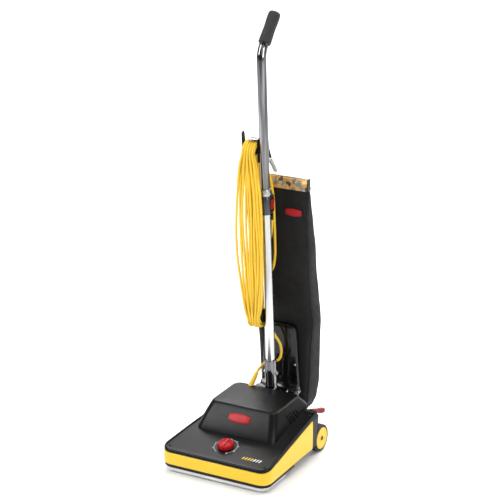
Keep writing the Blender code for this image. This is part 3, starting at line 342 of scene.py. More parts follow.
def piece(name, points, faces, look, body, slot, replaces=(), sharp=35.0, bevel=0.0, levels=0):
    """A mesh that rides on a body, with its finish and the CAD nodes that it stands for."""
    obj = mesh_object(name, points, faces)
    obj.data.materials.append(look)
    obj.data.shade_smooth()
    if sharp:
        obj.data.set_sharp_from_angle(angle=radians(sharp))
    if bevel:
        round_edges(obj, bevel, 3)
    if levels:
        finer = obj.modifiers.new("finer", 'SUBSURF')
        finer.levels = levels
        finer.render_levels = levels
    if body:
        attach(obj, body)
    if replaces:
        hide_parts(*replaces)
    return obj


def skin(loops, ring=False, cap=True, wrap=True):
    """Points and faces over a row of loops of equal count."""
    count = len(loops[0])
    points = [p for loop in loops for p in loop]
    faces = []
    for i in range(len(loops) if ring else len(loops) - 1):
        a = i * count
        b = (i + 1) % len(loops) * count
        for k in range(count if wrap else count - 1):
            n = (k + 1) % count
            faces.append((a + k, a + n, b + n, b + k))
    if cap and not ring:
        faces.append(tuple(range(count)))
        faces.append(tuple(range(len(points) - count, len(points))))
    return points, faces


def loft(name, loops, look, body, slot, replaces=(), ring=False, cap=True, wrap=True, **more):
    """A piece skinned over loops."""
    points, faces = skin(loops, ring, cap, wrap)
    return piece(name, points, faces, look, body, slot, replaces, **more)


def group(name, shapes, look, body, slot, replaces=(), **more):
    """Several shapes as one piece."""
    points, faces = join(*shapes)
    return piece(name, points, faces, look, body, slot, replaces, **more)


def spun(name, profile, place, sides, look, body, slot, replaces=(), ring=False, **more):
    """A piece turned from a profile."""
    points, faces = turned(profile, place, sides, ring)
    return piece(name, points, faces, look, body, slot, replaces, **more)


def join(*shapes):
    """Several sets of points and faces as one."""
    points, faces = [], []
    for more_points, more_faces in shapes:
        start = len(points)
        points += [Vector(p) for p in more_points]
        faces += [tuple(start + k for k in face) for face in more_faces]
    return points, faces


def along(start, end):
    """The matrix that puts Z along a line, its foot at the start."""
    direction = Vector(end) - Vector(start)
    return Matrix.Translation(start) @ direction.to_track_quat('Z', 'Y').to_matrix().to_4x4()


def turned(profile, place, sides=64, ring=False):
    """Points and faces of a (radius, height) profile turned about Z."""
    angles = [2 * pi * k / sides for k in range(sides)]
    loops = [[place @ Vector((max(r, 1e-5) * cos(angle), max(r, 1e-5) * sin(angle), h)) for angle in angles]
             for r, h in profile]
    return skin(loops, ring)


def block(low, high, place=Matrix.Identity(4)):
    """Points and faces of a box."""
    corners = [place @ Vector((x, y, z)) for z in (low[2], high[2])
               for x, y in ((low[0], low[1]), (high[0], low[1]), (high[0], high[1]), (low[0], high[1]))]
    return corners, [(0, 3, 2, 1), (4, 5, 6, 7), (0, 1, 5, 4), (1, 2, 6, 5), (2, 3, 7, 6), (3, 0, 4, 7)]


def rings_along(points, radius, sides):
    """Circles square to a path, without twist; the radius may change along it."""
    points = [Vector(p) for p in points]
    up = None
    rings = []
    for i, point in enumerate(points):
        tangent = (points[min(i + 1, len(points) - 1)] - points[max(i - 1, 0)]).normalized()
        up = tangent.orthogonal() if up is None else up - tangent * up.dot(tangent)
        up.normalize()
        side = tangent.cross(up)
        size = radius(i / (len(points) - 1)) if callable(radius) else radius
        rings.append([point + size * (up * cos(2 * pi * k / sides) + side * sin(2 * pi * k / sides))
                      for k in range(sides)])
    return rings


def smooth_route(stops, spacing):
    """Points at an even spacing on a smooth curve through the stops."""
    stops = [Vector(s) for s in stops]
    ends = [stops[0] * 2 - stops[1]] + stops + [stops[-1] * 2 - stops[-2]]
    fine = []
    for a, b, c, d in zip(ends, ends[1:], ends[2:], ends[3:]):
        for k in range(12):
            t = k / 12
            fine.append(0.5 * (2 * b + (c - a) * t + (2 * a - 5 * b + 4 * c - d) * t ** 2
                               + (3 * b - a - 3 * c + d) * t ** 3))
    fine.append(stops[-1])
    length = sum((q - p).length for p, q in zip(fine, fine[1:]))
    count = max(2, round(length / spacing))
    step = length / count
    route = [fine[0]]
    walked = 0.0
    for p, q in zip(fine, fine[1:]):
        part = (q - p).length
        while len(route) < count and walked + part >= len(route) * step:
            route.append(p.lerp(q, (len(route) * step - walked) / part))
        walked += part
    route.append(fine[-1])
    return route


def rounded_plan(x_half, y_front, y_rear, front_radius, rear_radius, steps=12):
    """A rectangle in plan with rounded corners, anticlockwise from the right rear corner."""
    corners = [(x_half, y_rear, rear_radius, 0), (-x_half, y_rear, rear_radius, 1),
               (-x_half, y_front, front_radius, 2), (x_half, y_front, front_radius, 3)]
    outline = []
    for x, y, radius, quarter in corners:
        cx = x - radius * (1 if x > 0 else -1)
        cy = y - radius * (1 if y == y_rear else -1)
        for k in range(steps + 1):
            angle = pi / 2 * (quarter + k / steps)
            outline.append((cx + radius * cos(angle), cy + radius * sin(angle)))
    return outline


def divided(plan, steps=12, parts=16):
    """A rounded plan with its four straight sides divided, so that they can be bent."""
    outline = []
    for quarter in range(4):
        corner = plan[quarter * (steps + 1):(quarter + 1) * (steps + 1)]
        after = plan[(quarter + 1) * (steps + 1) % len(plan)]
        last = corner[-1]
        outline += corner + [(last[0] + (after[0] - last[0]) * k / parts,
                              last[1] + (after[1] - last[1]) * k / parts) for k in range(1, parts)]
    return outline


def ease(t):
    """Smooth step from 0 to 1."""
    t = min(max(t, 0.0), 1.0)
    return t * t * (3 - 2 * t)


def settle(obj, modifier):
    """Moves a modifier to the front and applies it."""
    bpy.context.view_layer.objects.active = obj
    with bpy.context.temp_override(object=obj, active_object=obj):
        bpy.ops.object.modifier_move_to_index(modifier=modifier, index=0)
        bpy.ops.object.modifier_apply(modifier=modifier)


def carve(target, shapes):
    """Cuts shapes out of a piece for good, and removes the tools."""
    for points, faces in shapes:
        tool = mesh_object("cutter", points, faces)
        change = target.modifiers.new("carve", 'BOOLEAN')
        change.operation = 'DIFFERENCE'
        change.solver = 'EXACT'
        change.object = tool
        settle(target, "carve")
        bpy.data.objects.remove(tool)
    target.data.shade_smooth()
    target.data.set_sharp_from_angle(angle=radians(HARD_EDGE))


# ---- camera, lights and floor -------------------------------------------------------------------
def make_camera():
    """The camera, level, aimed at the machine's middle."""
    camera = bpy.data.cameras.new("camera")
    camera.lens = CAMERA_LENS
    camera.sensor_width = 36.0
    view = bpy.data.objects.new("camera", camera)
    view.location = CAMERA_PLACE
    view.rotation_euler = (Vector(CAMERA_TARGET) - view.location).to_track_quat('-Z', 'Y').to_euler()
    bpy.context.collection.objects.link(view)
    bpy.context.scene.camera = view


def make_floor():
    """A pale floor that curves up behind."""
    ground = surface("studio_floor", (0.9, 0.9, 0.9), 0.55, vary=0.01, patch=2.0, grain=300.0,
                     depth=0.00005, spread=0.03)
    sides, bend_y, bend = (-9, 9), 3.2, 2.5
    loops = [[(x, y, 0) for x in sides] for y in (-9, bend_y)]
    for k in range(1, 9):
        angle = pi / 2 * k / 8
        loops.append([(x, bend_y + bend * sin(angle), bend - bend * cos(angle)) for x in sides])
    loops.append([(x, bend_y + bend, 8) for x in sides])
    points, faces = skin(loops, cap=False, wrap=False)
    floor = piece("floor", points, faces, ground, None, None, sharp=0)


def make_world():
    """Soft bright and dark panels all round, for the chrome to mirror."""
    world = bpy.data.worlds.new("studio")
    world.use_nodes = True
    tree = world.node_tree
    direction = add_node(tree, 'ShaderNodeTexCoord').outputs['Generated']
    panels = map_range(tree, noise_field(tree, direction, 1.6, 1.0), 0.46, 0.54, 0.12, 1.0)
    tone = mix_colours(tree, panels, (0.0, 0.0, 0.0), (1.0, 1.0, 1.0))
    tree.links.new(tone, tree.nodes["Background"].inputs[0])
    tree.nodes["Background"].inputs[1].default_value = 0.7
    bpy.context.scene.world = world
    bpy.context.scene.view_settings.view_transform = 'Standard'


def make_lights():
    """Soft lamps: three quarters round the machine, and two for the ground behind it."""
    middle = (0, 0, 0.5)
    lights = (("key", (-2.2, -2.4, 2.6), middle, 1.0, 2.4, 95.0),
              ("fill", (3.4, -1.6, 1.9), middle, 0.9, 2.2, 50.0),
              ("top", (0.2, 0.9, 3.6), middle, 2.8, 2.4, 105.0),
              ("rim", (1.8, 2.6, 2.2), middle, 0.8, 1.8, 40.0),
              ("backdrop", (-1.2, 3.6, 3.4), middle, 4.0, 1.4, 120.0),
              ("backdrop_left", (-3.2, 2.6, 3.4), (-3.8, 5.0, 0.4), 3.0, 2.0, 90.0))
    for name, place, aim, width, height, power in lights:
        lamp = bpy.data.lights.new(name, 'AREA')
        lamp.shape = 'RECTANGLE'
        lamp.size = width
        lamp.size_y = height
        lamp.energy = power
        obj = bpy.data.objects.new(name, lamp)
        obj.location = place
        obj.rotation_euler = (Vector(aim) - obj.location).to_track_quat('-Z', 'Y').to_euler()
        bpy.context.collection.objects.link(obj)


# ---- cords --------------------------------------------------------------------------------------
# middle places of the front runs, right to left: the inner and outer turn of each lane
FRONT_FAN = (0.001, -0.0067, -0.0144, -0.0221, -0.033, -0.0407, -0.0484, -0.0593, -0.067, -0.08)
LANE_ORDER = [(0, 0), (1, 0), (2, 0), (3, 0), (4, 0), (4, 1), (3, 1), (2, 1), (1, 1), (0, 1)]


def hank_stops():
    """The wound turns: up behind, over the saddle, down in front, and under the lower hook."""
    stops = []
    for turn, (lane, layer) in enumerate(LANE_ORDER):
        side = 2 * layer - 1
        radius = HANK_MIDDLE + side * HANK_LAYER
        x = LANE_START - LANE_PITCH * lane
        middle = FRONT_FAN[2 * lane + layer]
        drop = layer * (0.0015 + 0.0035 * abs(sin(2.1 * turn)))
        bottom = HANK_BOTTOM - drop
        for k in range(9):
            angle = pi * k / 8
            stops.append((x, radius * cos(angle), HANK_TOP + radius * sin(angle)))
        for k in range(1, 24):
            share = k / 24
            bulge = sin(pi * share) ** 0.7
            turnout = pi / 2 * ease(min(1.0, 1.25 * bulge))
            waver = 0.0015 * sin(9 * share + 2.3 * turn) * bulge
            across = x + (middle - x) * bulge + waver
            depth = -(HANK_MIDDLE + side * HANK_LAYER * cos(turnout))
            depth += 0.0017 * sin(7 * share + 1.7 * turn) * sin(pi * share)
            stops.append((across, depth, HANK_TOP + (bottom - HANK_TOP) * share))
        for k in range(9):
            angle = pi + pi * k / 8
            stops.append((x, radius * cos(angle), bottom + radius * sin(angle)))
        if turn == len(LANE_ORDER) - 1:
            break
        next_lane, next_layer = LANE_ORDER[turn + 1]
        next_x = LANE_START - LANE_PITCH * next_lane
        next_radius = HANK_MIDDLE + (2 * next_layer - 1) * HANK_LAYER
        for k in range(1, 16):
            share = k / 16
            spread = 1 + 0.3 * sin(pi * share)
            run_x = x + (next_x - x) * ease(share)
            across = LANE_START + (run_x - LANE_START) * spread - 0.004 * sin(pi * share)
            depth = radius + (next_radius - radius) * ease(share)
            stops.append((across, depth, bottom + (HANK_TOP - bottom) * share))
    return stops


def make_strain_relief():
    """The ribbed sleeve that the mains cord leaves the switch housing by."""
    profile = [(0.0038, 0), (0.0046, 0.0002)]
    for k in range(6):
        foot = 0.0018 + 0.003 * k
        swell = 0.0046 + 0.0003 * k
        profile += [(swell, foot), (swell, foot + 0.0016), (swell - 0.0009, foot + 0.0019),
                    (swell - 0.0009, foot + 0.0026)]
    profile += [(0.0064, 0.0198), (0.0066, 0.024), (0.002, 0.024)]
    x, behind, top = CORD_EXIT[0], CORD_EXIT[1], 0.5797
    place = along(on_handle(x, behind, top - 0.024), on_handle(x, behind, top))
    return spun("cord_strain_relief", profile, place, 32, BLACK, "handle", "black_plastic",
                ["cord_relief"])


def make_plug():
    """The plug with its blades and earth pin, hung behind the lower hook."""
    plug_top, plug_foot = on_handle(-0.0683, 0.0419, 0.3043), on_handle(-0.0683, 0.0505, 0.2557)
    place = along(plug_top, plug_foot)
    profile = [(0.0038, -0.001), (0.0048, 0), (0.005, 0.003), (0.0054, 0.004), (0.0054, 0.007),
               (0.006, 0.008), (0.0062, 0.012), (0.009, 0.0165), (0.0112, 0.02), (0.0122, 0.026),
               (0.0125, 0.034), (0.0124, 0.0425), (0.0116, 0.0438), (0.002, 0.044)]
    shapes = [turned(profile, place, 40)]
    for x in (-0.0063, 0.0063):
        shapes.append(block((x - 0.0008, -0.003, 0.04), (x + 0.0008, 0.003, 0.059), place))
    shapes.append(turned([(0.0001, 0.04), (0.0022, 0.04), (0.0022, 0.057), (0.0012, 0.06), (0.0001, 0.06)],
                         place @ Matrix.Translation((0, 0.0058, 0)), 16))
    points, faces = join(*shapes)
    plug = piece("mains_plug", points, faces, BLACK, "handle", "black_plastic", ["cord_plug"], bevel=0.0003)
    plug.data.materials.append(STEEL)
    body_faces = len(shapes[0][1])
    for face in plug.data.polygons:
        face.material_index = 1 if face.index >= body_faces else 0
    return plug


def make_mains_cord():
    """The mains cord: a loose loop behind the tube, ten turns on the hooks, and a tail to the plug."""
    start = [CORD_EXIT, (-0.0094, 0.024, 0.535), (-0.0094, 0.0325, 0.512),
             (-0.017, 0.0394, 0.49), (-0.036, 0.0396, 0.469), (-0.0565, 0.0393, 0.436),
             (-0.05, 0.0392, 0.4), (-0.028, 0.0392, 0.385), (-0.007, 0.039, 0.403),
             (0.003, 0.0375, 0.443), (0.006, 0.0348, 0.5), (0.006, 0.0342, 0.56),
             (0.005, 0.034, 0.615), (0.002, 0.0305, 0.657), (-0.0035, 0.0255, 0.69),
             (-0.0122, 0.023, 0.715), (-0.0178, 0.0228, 0.735)]
    tail = [(-0.0203, 0.031, 0.288), (-0.0203, 0.0352, 0.3), (-0.0203, 0.0386, 0.3115)]
    for k in range(1, 13):
        angle = pi * k / 12
        tail.append((-0.0443 + TAIL_TURN * cos(angle), 0.0392, 0.33 + TAIL_TURN * sin(angle)))
    tail += [(-0.0683, 0.04, 0.318), (-0.0683, 0.0419, 0.3043)]
    route = smooth_route([on_handle(*stop) for stop in start + hank_stops() + tail], 0.006)
    curve = bpy.data.curves.new("mains_cord", 'CURVE')
    curve.dimensions = '3D'
    curve.bevel_depth = CORD_RADIUS
    curve.bevel_resolution = 3
    curve.use_fill_caps = True
    spline = curve.splines.new('POLY')
    spline.points.add(len(route) - 1)
    for point, place in zip(spline.points, route):
        point.co = (*place, 1.0)
    spline.use_smooth = True
    curve.materials.append(CORD)
    cord = bpy.data.objects.new("mains_cord", curve)
    bpy.context.collection.objects.link(cord)
    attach(cord, "handle")
    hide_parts("cord_start", "cord_hank", "cord_tail")

    relief, plug = make_strain_relief(), make_plug()


def make_lead():
    """The lead from its tapered relief in the motor cover to the foot of the switch housing."""
    stops = [RELIEF_TIP, (-0.0395, 0.0865, 0.211), (-0.0235, 0.101, 0.23),
             (0.0066, 0.112, 0.236), (0.0153, 0.1135, 0.2584), (0.0127, 0.112, 0.2856),
             (-0.0024, 0.109, 0.3108), (-0.0143, 0.104, 0.3403), (-0.014, 0.093, 0.4184)]
    stops += [on_handle(-0.0085, 0.0206, s) for s in (0.4, 0.45)]
    stops.append(on_handle(0, 0.0206, 0.5))
    stops.append(on_handle(*LEAD_END))
    path = smooth_route(stops, 0.006)
    lead = loft("switch_lead", rings_along(path, CORD_RADIUS, 16), CORD, None, "yellow_cord",
                ["power_lead"])
    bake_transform(lead)

    length = (RELIEF_TIP - RELIEF_FOOT).length
    profile = [(0.002, 0), (0.0084, 0), (0.0086, 0.003), (0.0082, 0.006)]
    for k in range(8):
        foot = 0.01 + 0.0052 * k
        swell = 0.0082 - 0.00026 * k
        profile += [(swell, foot), (swell, foot + 0.003), (swell - 0.001, foot + 0.0034),
                    (swell - 0.001, foot + 0.0048)]
    profile += [(0.006, length - 0.0035), (0.0056, length - 0.0008), (0.0038, length)]
    spun("lead_guard", profile, along(RELIEF_FOOT, RELIEF_TIP), 40, CORD, "base", "yellow_cord",
         ["lead_relief"])


# ---- base ---------------------------------------------------------------------------------------
def nose(half, front, radius, steps):
    """The front's outline in plan: its two rounded corners, left to right."""
    line = []
    for side, first in ((-1, pi), (1, 1.5 * pi)):
        centre = (side * (half - radius), front + radius)
        line += [(centre[0] + radius * cos(first + pi / 2 * k / steps),
                  centre[1] + radius * sin(first + pi / 2 * k / steps)) for k in range(steps + 1)]
    return line


def make_bumper():
    """Yellow band round the nose and both sides: a soft crown, eased edges, taller at the rear."""
    rear, thickness = 0.019, 0.0065

    def plan(offset):
        half, front, radius = HALF_WIDTH - offset, FRONT_Y + offset, CORNER - offset
        side = [rear + (front - rear) * 0.85 * k / 36 for k in range(36)]
        return [(-half, y) for y in side] + nose(half, front, radius, 16) + [(half, y) for y in side[::-1]]

    section = [(thickness, 0, 0.0), (0.0034, 0, 0.0), (0.0016, 0, 0.0004), (0.0007, 0, 0.0014),
               (0.0003, 0, 0.0035), (0.0001, 0.25, 0.002), (0.0, 0.5, 0.0), (0.0001, 0.75, -0.002),
               (0.0003, 1, -0.0035), (0.0007, 1, -0.0014), (0.0016, 1, -0.0004), (0.0034, 1, 0.0),
               (thickness, 1, 0.0)]
    plans = [plan(row[0]) for row in section]
    loops = []
    for i in range(len(plans[0])):
        share = (plans[6][i][1] - FRONT_Y) / (rear - FRONT_Y)
        low, high = 0.024 + 0.009 * share, 0.059 + 0.0585 * share
        loops.append([draw_in_flank((plans[k][i][0], plans[k][i][1], low + (high - low) * up + more))
                      for k, (inset, up, more) in enumerate(section)])
    loft("bumper_band", loops, YELLOW, "base", "yellow_plastic", ["bumper"], sharp=50, bevel=0.0006)


def make_deck():
    """Black lid with a rolled rim, open under the motor cover."""
    rim = [(0.0035, 0.0002), (0.001, 0.0003), (0.0002, 0.0012), (0.0, 0.0026), (0.0002, 0.0044),
           (0.001, 0.0068), (0.0024, 0.0084), (0.0042, 0.0089), (0.006, 0.0082), (0.0073, 0.0065),
           (0.0083, 0.0053), (0.0105, 0.005), (0.02, 0.005)]
    loops = []
    for inset, lift in rim:
        plan = divided(rounded_plan(HALF_WIDTH - 0.0008 - inset, FRONT_Y + 0.0004 + inset, REAR_Y - inset,
                                    max(CORNER - inset, 0.012), max(0.012 - inset, 0.003)))
        loops.append([draw_in_flank((x, y, deck_line(y) + lift)) for x, y in plan])
    for lift in (0.005, 0.0002):
        plan = divided(rounded_plan(0.11, -0.116, 0.043, 0.004, 0.004))
        loops.append([(x, y, deck_line(y) + lift) for x, y in plan])
    loft("deck_lid", loops, BLACK_PAINT, "base", "black_metal", ["top_deck"], ring=True, sharp=60)


def make_cheeks():
    """The housing's sides behind the band."""
    for side, tag in ((-1, "left"), (1, "right")):
        edge = [(0.0196, 0.034), (0.036, 0.0352), (0.041, 0.039), (0.0432, 0.046), (0.044, 0.06),
                (0.047, 0.078), (0.052, 0.096), (0.0545, 0.112), (0.055, deck_line(0.055) - 0.0004),
                (0.0196, deck_line(0.0196) - 0.0004)]
        loops = [[draw_in_flank((side * x, y, z)) for y, z in edge] for x in (0.1585, 0.1668)]
        loft("side_cheek_" + tag, loops, BLACK_PAINT, "base", "black_metal", bevel=0.0025)


def make_lip():
    """The lip under the nose and both sides."""
    lip = [(0.007, 0.0155), (0.0022, 0.0155), (0.0009, 0.0168), (0.0008, 0.0222), (0.002, 0.0238),
           (0.007, 0.0238)]
    loops = []
    for inset, height in lip:
        half, front, radius = HALF_WIDTH - 0.002 - inset, FRONT_Y + 0.0012 + inset, 0.028 - inset
        line = [(-half, -0.085 - 0.01 * k) for k in range(12)] + nose(half, front, radius, 12)
        line += [(half, y) for y in (-0.16, -0.12, -0.085)]
        loops.append([draw_in_flank((x, y, height + 0.03 * max(0.0, y + 0.215))) for x, y in line])
    columns = [[loop[i] for loop in loops] for i in range(len(loops[0]))]
    loft("nozzle_lip", columns, BLACK, "base", "black_plastic", sharp=50, bevel=0.0006)


def make_deck_screws():
    """The lid's three round heads."""
    screws = []
    for x, y in ((0.148, -0.222), (-0.148, -0.222), (0.15, 0.03)):
        head = [(0.0036, -0.001), (0.0037, 0.0004), (0.0033, 0.0013), (0.002, 0.0019), (0.0013, 0.002),
                (0.0012, 0.0009), (0.0001, 0.0009)]
        screws.append(turned(head, on_deck(x, y), 24))
    group("deck_screws", screws, BLACK_PAINT, "base", "black_metal")


def hood_point(x, y, level, front, rear):
    """A place on the hood's wall at a share of its height."""
    foot = deck_line(y) + DECK_THICKNESS + 0.0003
    roof = 0.163 + 0.004 * (y - front) / (rear - front)
    return Vector((x, y, foot + (roof - foot) * level ** 0.85))


def make_hood():
    """Motor cover: tapered walls, a rolled shoulder, a gently crowned top, and cooling slots."""
    def loop(level, inset=0.0):
        half = 0.123 - 0.021 * level - inset
        front = -0.128 + 0.048 * level + inset
        rear = 0.086 - 0.02 * level - inset
        front_radius, rear_radius = (max(radius - inset * 0.6, 0.004) for radius in (0.02, 0.022))
        plan = rounded_plan(half, front, rear, front_radius, rear_radius, 10)
        return [hood_point(x, y, level, front, rear) for x, y in plan]

    walls = [loop(level) for level in (0.0, 0.02, 0.12, 0.24, 0.36, 0.48, 0.6, 0.72, 0.84)]
    wall_end, edge, top = loop(0.92), loop(1.0), loop(1.0, 0.0065)
    shoulder = []
    for k in range(7):
        t = k / 6
        shoulder.append([a * (1 - t) ** 2 + b * 2 * t * (1 - t) + c * t ** 2
                         for a, b, c in zip(wall_end, edge, top)])
    centre = sum(top, Vector()) / len(top)
    crown = []
    for share in (0.93, 0.82, 0.66, 0.46, 0.24, 0.06):
        lift = Vector((0, 0, 0.0016 * (1 - share ** 2)))
        crown.append([centre + (p - centre) * share + lift for p in top])
    foot = [p + Vector((0.0028 * (1 if p.x > 0 else -1), 0, -0.0001)) for p in walls[0]]
    loops = [foot] + walls + shoulder + crown
    points, faces = skin(loops)
    hood = piece("motor_hood", points, faces[:-2] + faces[-1:], BLACK_PAINT, "base", "black_metal",
                 ["motor_cover"], sharp=0)
    wall = hood.modifiers.new("wall", 'SOLIDIFY')
    wall.thickness = 0.0026
    wall.offset = -1
    settle(hood, "wall")
    tools = [block((-0.056, 0.0658, 0.05), (0.056, 0.11, 0.1605)),
             block((-0.0215, 0.064, 0.05), (0.0215, 0.11, 0.2))]
    tools.append(turned([(0.009, -0.004), (0.009, 0.05)], along(RELIEF_FOOT, RELIEF_TIP), 24))
    slots = []
    for side in (-1, 1):
        for k in range(5):
            y = -0.03 + 0.0125 * k
            lean = Matrix.Translation((side * 0.1125, y, 0.128)) @ Matrix.Rotation(radians(24), 4, 'X')
            slots.append(block((-0.02, -0.0018, -0.0165), (0.02, 0.0018, 0.0165), lean))
    tools.append(join(*slots))
    carve(hood, tools)


def lozenge(width, height, thickness, steps=10, dome=0.0008):
    """A flat badge: straight ends, bowed top and bottom, with a soft dome. It lies in X and Z."""
    outline = []
    for k in range(steps + 1):
        t = -1 + 2 * k / steps
        outline.append((t * width / 2, -height / 2 * (0.62 + 0.38 * (1 - t * t))))
    for k in range(steps + 1):
        t = 1 - 2 * k / steps
        outline.append((t * width / 2, height / 2 * (0.62 + 0.38 * (1 - t * t))))
    loops = []
    for share, lift in ((1.0, 0.0), (1.0, thickness * 0.7), (0.975, thickness),
                        (0.7, thickness + dome * 0.6), (0.35, thickness + dome * 0.9),
                        (0.02, thickness + dome)):
        loops.append([Vector((x * share, -lift, z * share)) for x, z in outline])
    return loops


def make_hood_badge():
    """Blank red badge, flat on the hood's front."""
    below, centre, above = (hood_point(0.002, -0.128 + 0.048 * level, level, -0.128 + 0.048 * level,
                                       0.086 - 0.02 * level) for level in (0.4, 0.54, 0.68))
    slope = (above - below).normalized()
    normal = Vector((0, -slope.z, slope.y))
    centre += normal * 0.0006
    place = Matrix.Translation(centre) @ Matrix((Vector((1, 0, 0)), -normal, slope)).transposed().to_4x4()
    lift = Vector((0, -0.0002, 0))
    loops = [[place @ (p + lift) for p in loop] for loop in lozenge(0.066, 0.0255, 0.0008)]
    loft("hood_badge", loops, RED, "base", "red_plastic", sharp=40)


def make_dial_marks():
    """Printed ticks round the knob, every fifth one long."""
    dial = on_deck(0, KNOB_Y)
    marks = []
    for k in range(40):
        angle = radians(-150 + 300 * k / 39)
        turn = dial @ Matrix.Rotation(angle, 4, 'Z')
        half, reach = (0.0009, 0.0372) if k % 5 == 0 else (0.0006, 0.0345)
        marks.append(block((-half, 0.031, -PRINT_ROOT), (half, reach, PRINT_LIFT), turn))
    group("dial_marks", marks, WHITE, "base", "steel", sharp=0)


def make_stripes():
    """Plain slanted stripes near the deck's right front corner."""
    stripes = {"yellow": [], "white": []}
    for k in range(7):
        place = on_deck(0.072 + 0.0085 * k, STRIPES_Y) @ Matrix.Rotation(radians(-20), 4, 'Z')
        stripes["yellow" if k < 4 else "white"].append(
            block((-0.002, -0.006, -PRINT_ROOT), (0.002, 0.006, PRINT_LIFT), place))
    for tag, look in (("yellow", YELLOW_PRINT), ("white", WHITE)):
        points, faces = join(*stripes[tag])
        piece("deck_stripes_" + tag, points, faces, look, "base", "yellow_plastic", sharp=0)


def make_knob():
    """Fluted red knob with a dished face and a raised finger bar."""
    place = on_deck(0, KNOB_Y)
    profile = [(0.1, 0.0004), (0.97, 0.0004), (1.0, 0.0012), (1.0, 0.003), (0.985, 0.007), (0.96, 0.01),
               (0.925, 0.012), (0.87, 0.0131), (0.8, 0.0134), (0.72, 0.0126), (0.64, 0.0108), (0.55, 0.0098),
               (0.42, 0.0094), (0.28, 0.0092), (0.14, 0.0092), (0.02, 0.0092)]
    sides = 144
    loops = []
    for share, height in profile:
        ring = []
        for k in range(sides):
            angle = 2 * pi * k / sides
            flute = 0.5 + 0.5 * cos(9 * angle)
            depth = 0.07 * flute ** 2 * ease((share - 0.7) / 0.25)
            reach = 0.023 * share * (1 - depth)
            x, y = reach * cos(angle), reach * sin(angle)
            bar = ease((0.0052 - abs(x)) / 0.0022) * ease((0.0175 - abs(y)) / 0.003)
            raised = height + (0.0146 - height) * bar if height > 0.009 else height
            ring.append(place @ Vector((x, y, max(height, raised))))
        loops.append(ring)
    loft("nozzle_knob", loops, RED, "height_knob", "red_plastic", ["height_knob"], sharp=0)


def make_wheels():
    """Black tyres on dished yellow hubs with dark axle caps."""
    for tag, side in (("left", -1), ("right", 1)):
        body = "wheel_" + tag
        place = along((side * 0.1375, *WHEEL_AXLE), (side * 0.162, *WHEEL_AXLE))
        tread = [(0.0314, 0.0004), (0.0345, 0.0002), (0.0368, 0.0008), (0.0384, 0.0024), (0.039, 0.0045)]
        for k in range(3):
            foot = 0.0075 + 0.0035 * k
            tread += [(0.039, foot), (0.0383, foot + 0.0004), (0.0383, foot + 0.001),
                      (0.039, foot + 0.0014)]
        tread += [(0.039, 0.019), (0.0384, 0.0215), (0.037, 0.0232), (0.0345, 0.0238), (0.0322, 0.0236),
                  (0.0314, 0.0228)]
        spun("wheel_tyre_" + tag, tread, place, 96, TYRE, body, "tyre", ["tyre_" + tag], sharp=40,
             ring=True)
        dish = [(0.0043, 0.002), (0.0309, 0.002), (0.0311, 0.003), (0.0311, 0.0226), (0.0308, 0.0238),
                (0.0298, 0.0245), (0.0284, 0.0243), (0.0276, 0.0234), (0.0262, 0.0229), (0.018, 0.0226),
                (0.012, 0.0226), (0.0108, 0.0232), (0.0098, 0.0242), (0.009, 0.0245), (0.0078, 0.0244),
                (0.0074, 0.0236), (0.0043, 0.0234)]
        spun("wheel_hub_" + tag, dish, place, 96, YELLOW, body, "yellow_plastic", ["hub_" + tag], sharp=35,
             ring=True)
        cap = [(0.0001, 0.0215), (0.0066, 0.0215), (0.007, 0.0228), (0.0066, 0.024), (0.005, 0.0244),
               (0.0034, 0.0243), (0.003, 0.0236), (0.0001, 0.0236)]
        spun("axle_cap_" + tag, cap, place, 48, BLACK, body, "black_plastic", sharp=35)


def make_pedal():
    """Release pedal: a curved tongue that swells to a rounded toe plate."""
    stations = [(0.0638, 0.112, 0.003, 0.005), (0.066, 0.1122, 0.0078, 0.0082),
                (0.072, 0.1128, 0.0085, 0.0086), (0.082, 0.1128, 0.0084, 0.008),
                (0.095, 0.1105, 0.008, 0.007), (0.11, 0.106, 0.0078, 0.0066),
                (0.125, 0.101, 0.008, 0.0066), (0.138, 0.0965, 0.0086, 0.0074),
                (0.15, 0.0932, 0.0092, 0.0084), (0.158, 0.0915, 0.0086, 0.008),
                (0.1625, 0.0908, 0.006, 0.0058), (0.1638, 0.0906, 0.002, 0.002)]
    loops = []
    for i, (y, z, half, deep) in enumerate(stations):
        before, after = stations[max(i - 1, 0)], stations[min(i + 1, len(stations) - 1)]
        slope = Vector((0, after[0] - before[0], after[1] - before[1])).normalized()
        normal = Vector((0, -slope.z, slope.y))
        ring = []
        for k in range(28):
            angle = 2 * pi * k / 28
            c, s = cos(angle), sin(angle)
            x = half * signed_power(c, 0.6)
            up = deep * signed_power(s, 0.8)
            if s > 0 and 0.13 < y < 0.16:
                up -= 0.0016 * (1 - abs(c))
            ring.append(Vector((PEDAL_X + x, y, z)) + normal * up)
        loops.append(ring)
    loft("release_pedal", loops, DARK_RED, "foot_pedal", "dark_red_plastic", ["foot_pedal"], sharp=0,
         levels=1)


# ---- handle -------------------------------------------------------------------------------------
def make_lower_tube():
    """The straight tube between the socket and the switch housing."""
    lower = [(0.012, 0.06), (0.0133, 0.06), (0.0135, 0.061), (0.0135, 0.5796), (0.012, 0.5796)]
    spun("tube_lower", lower, LEAN, 72, SATIN, "handle", "chrome", ["lower_tube"], ring=True)


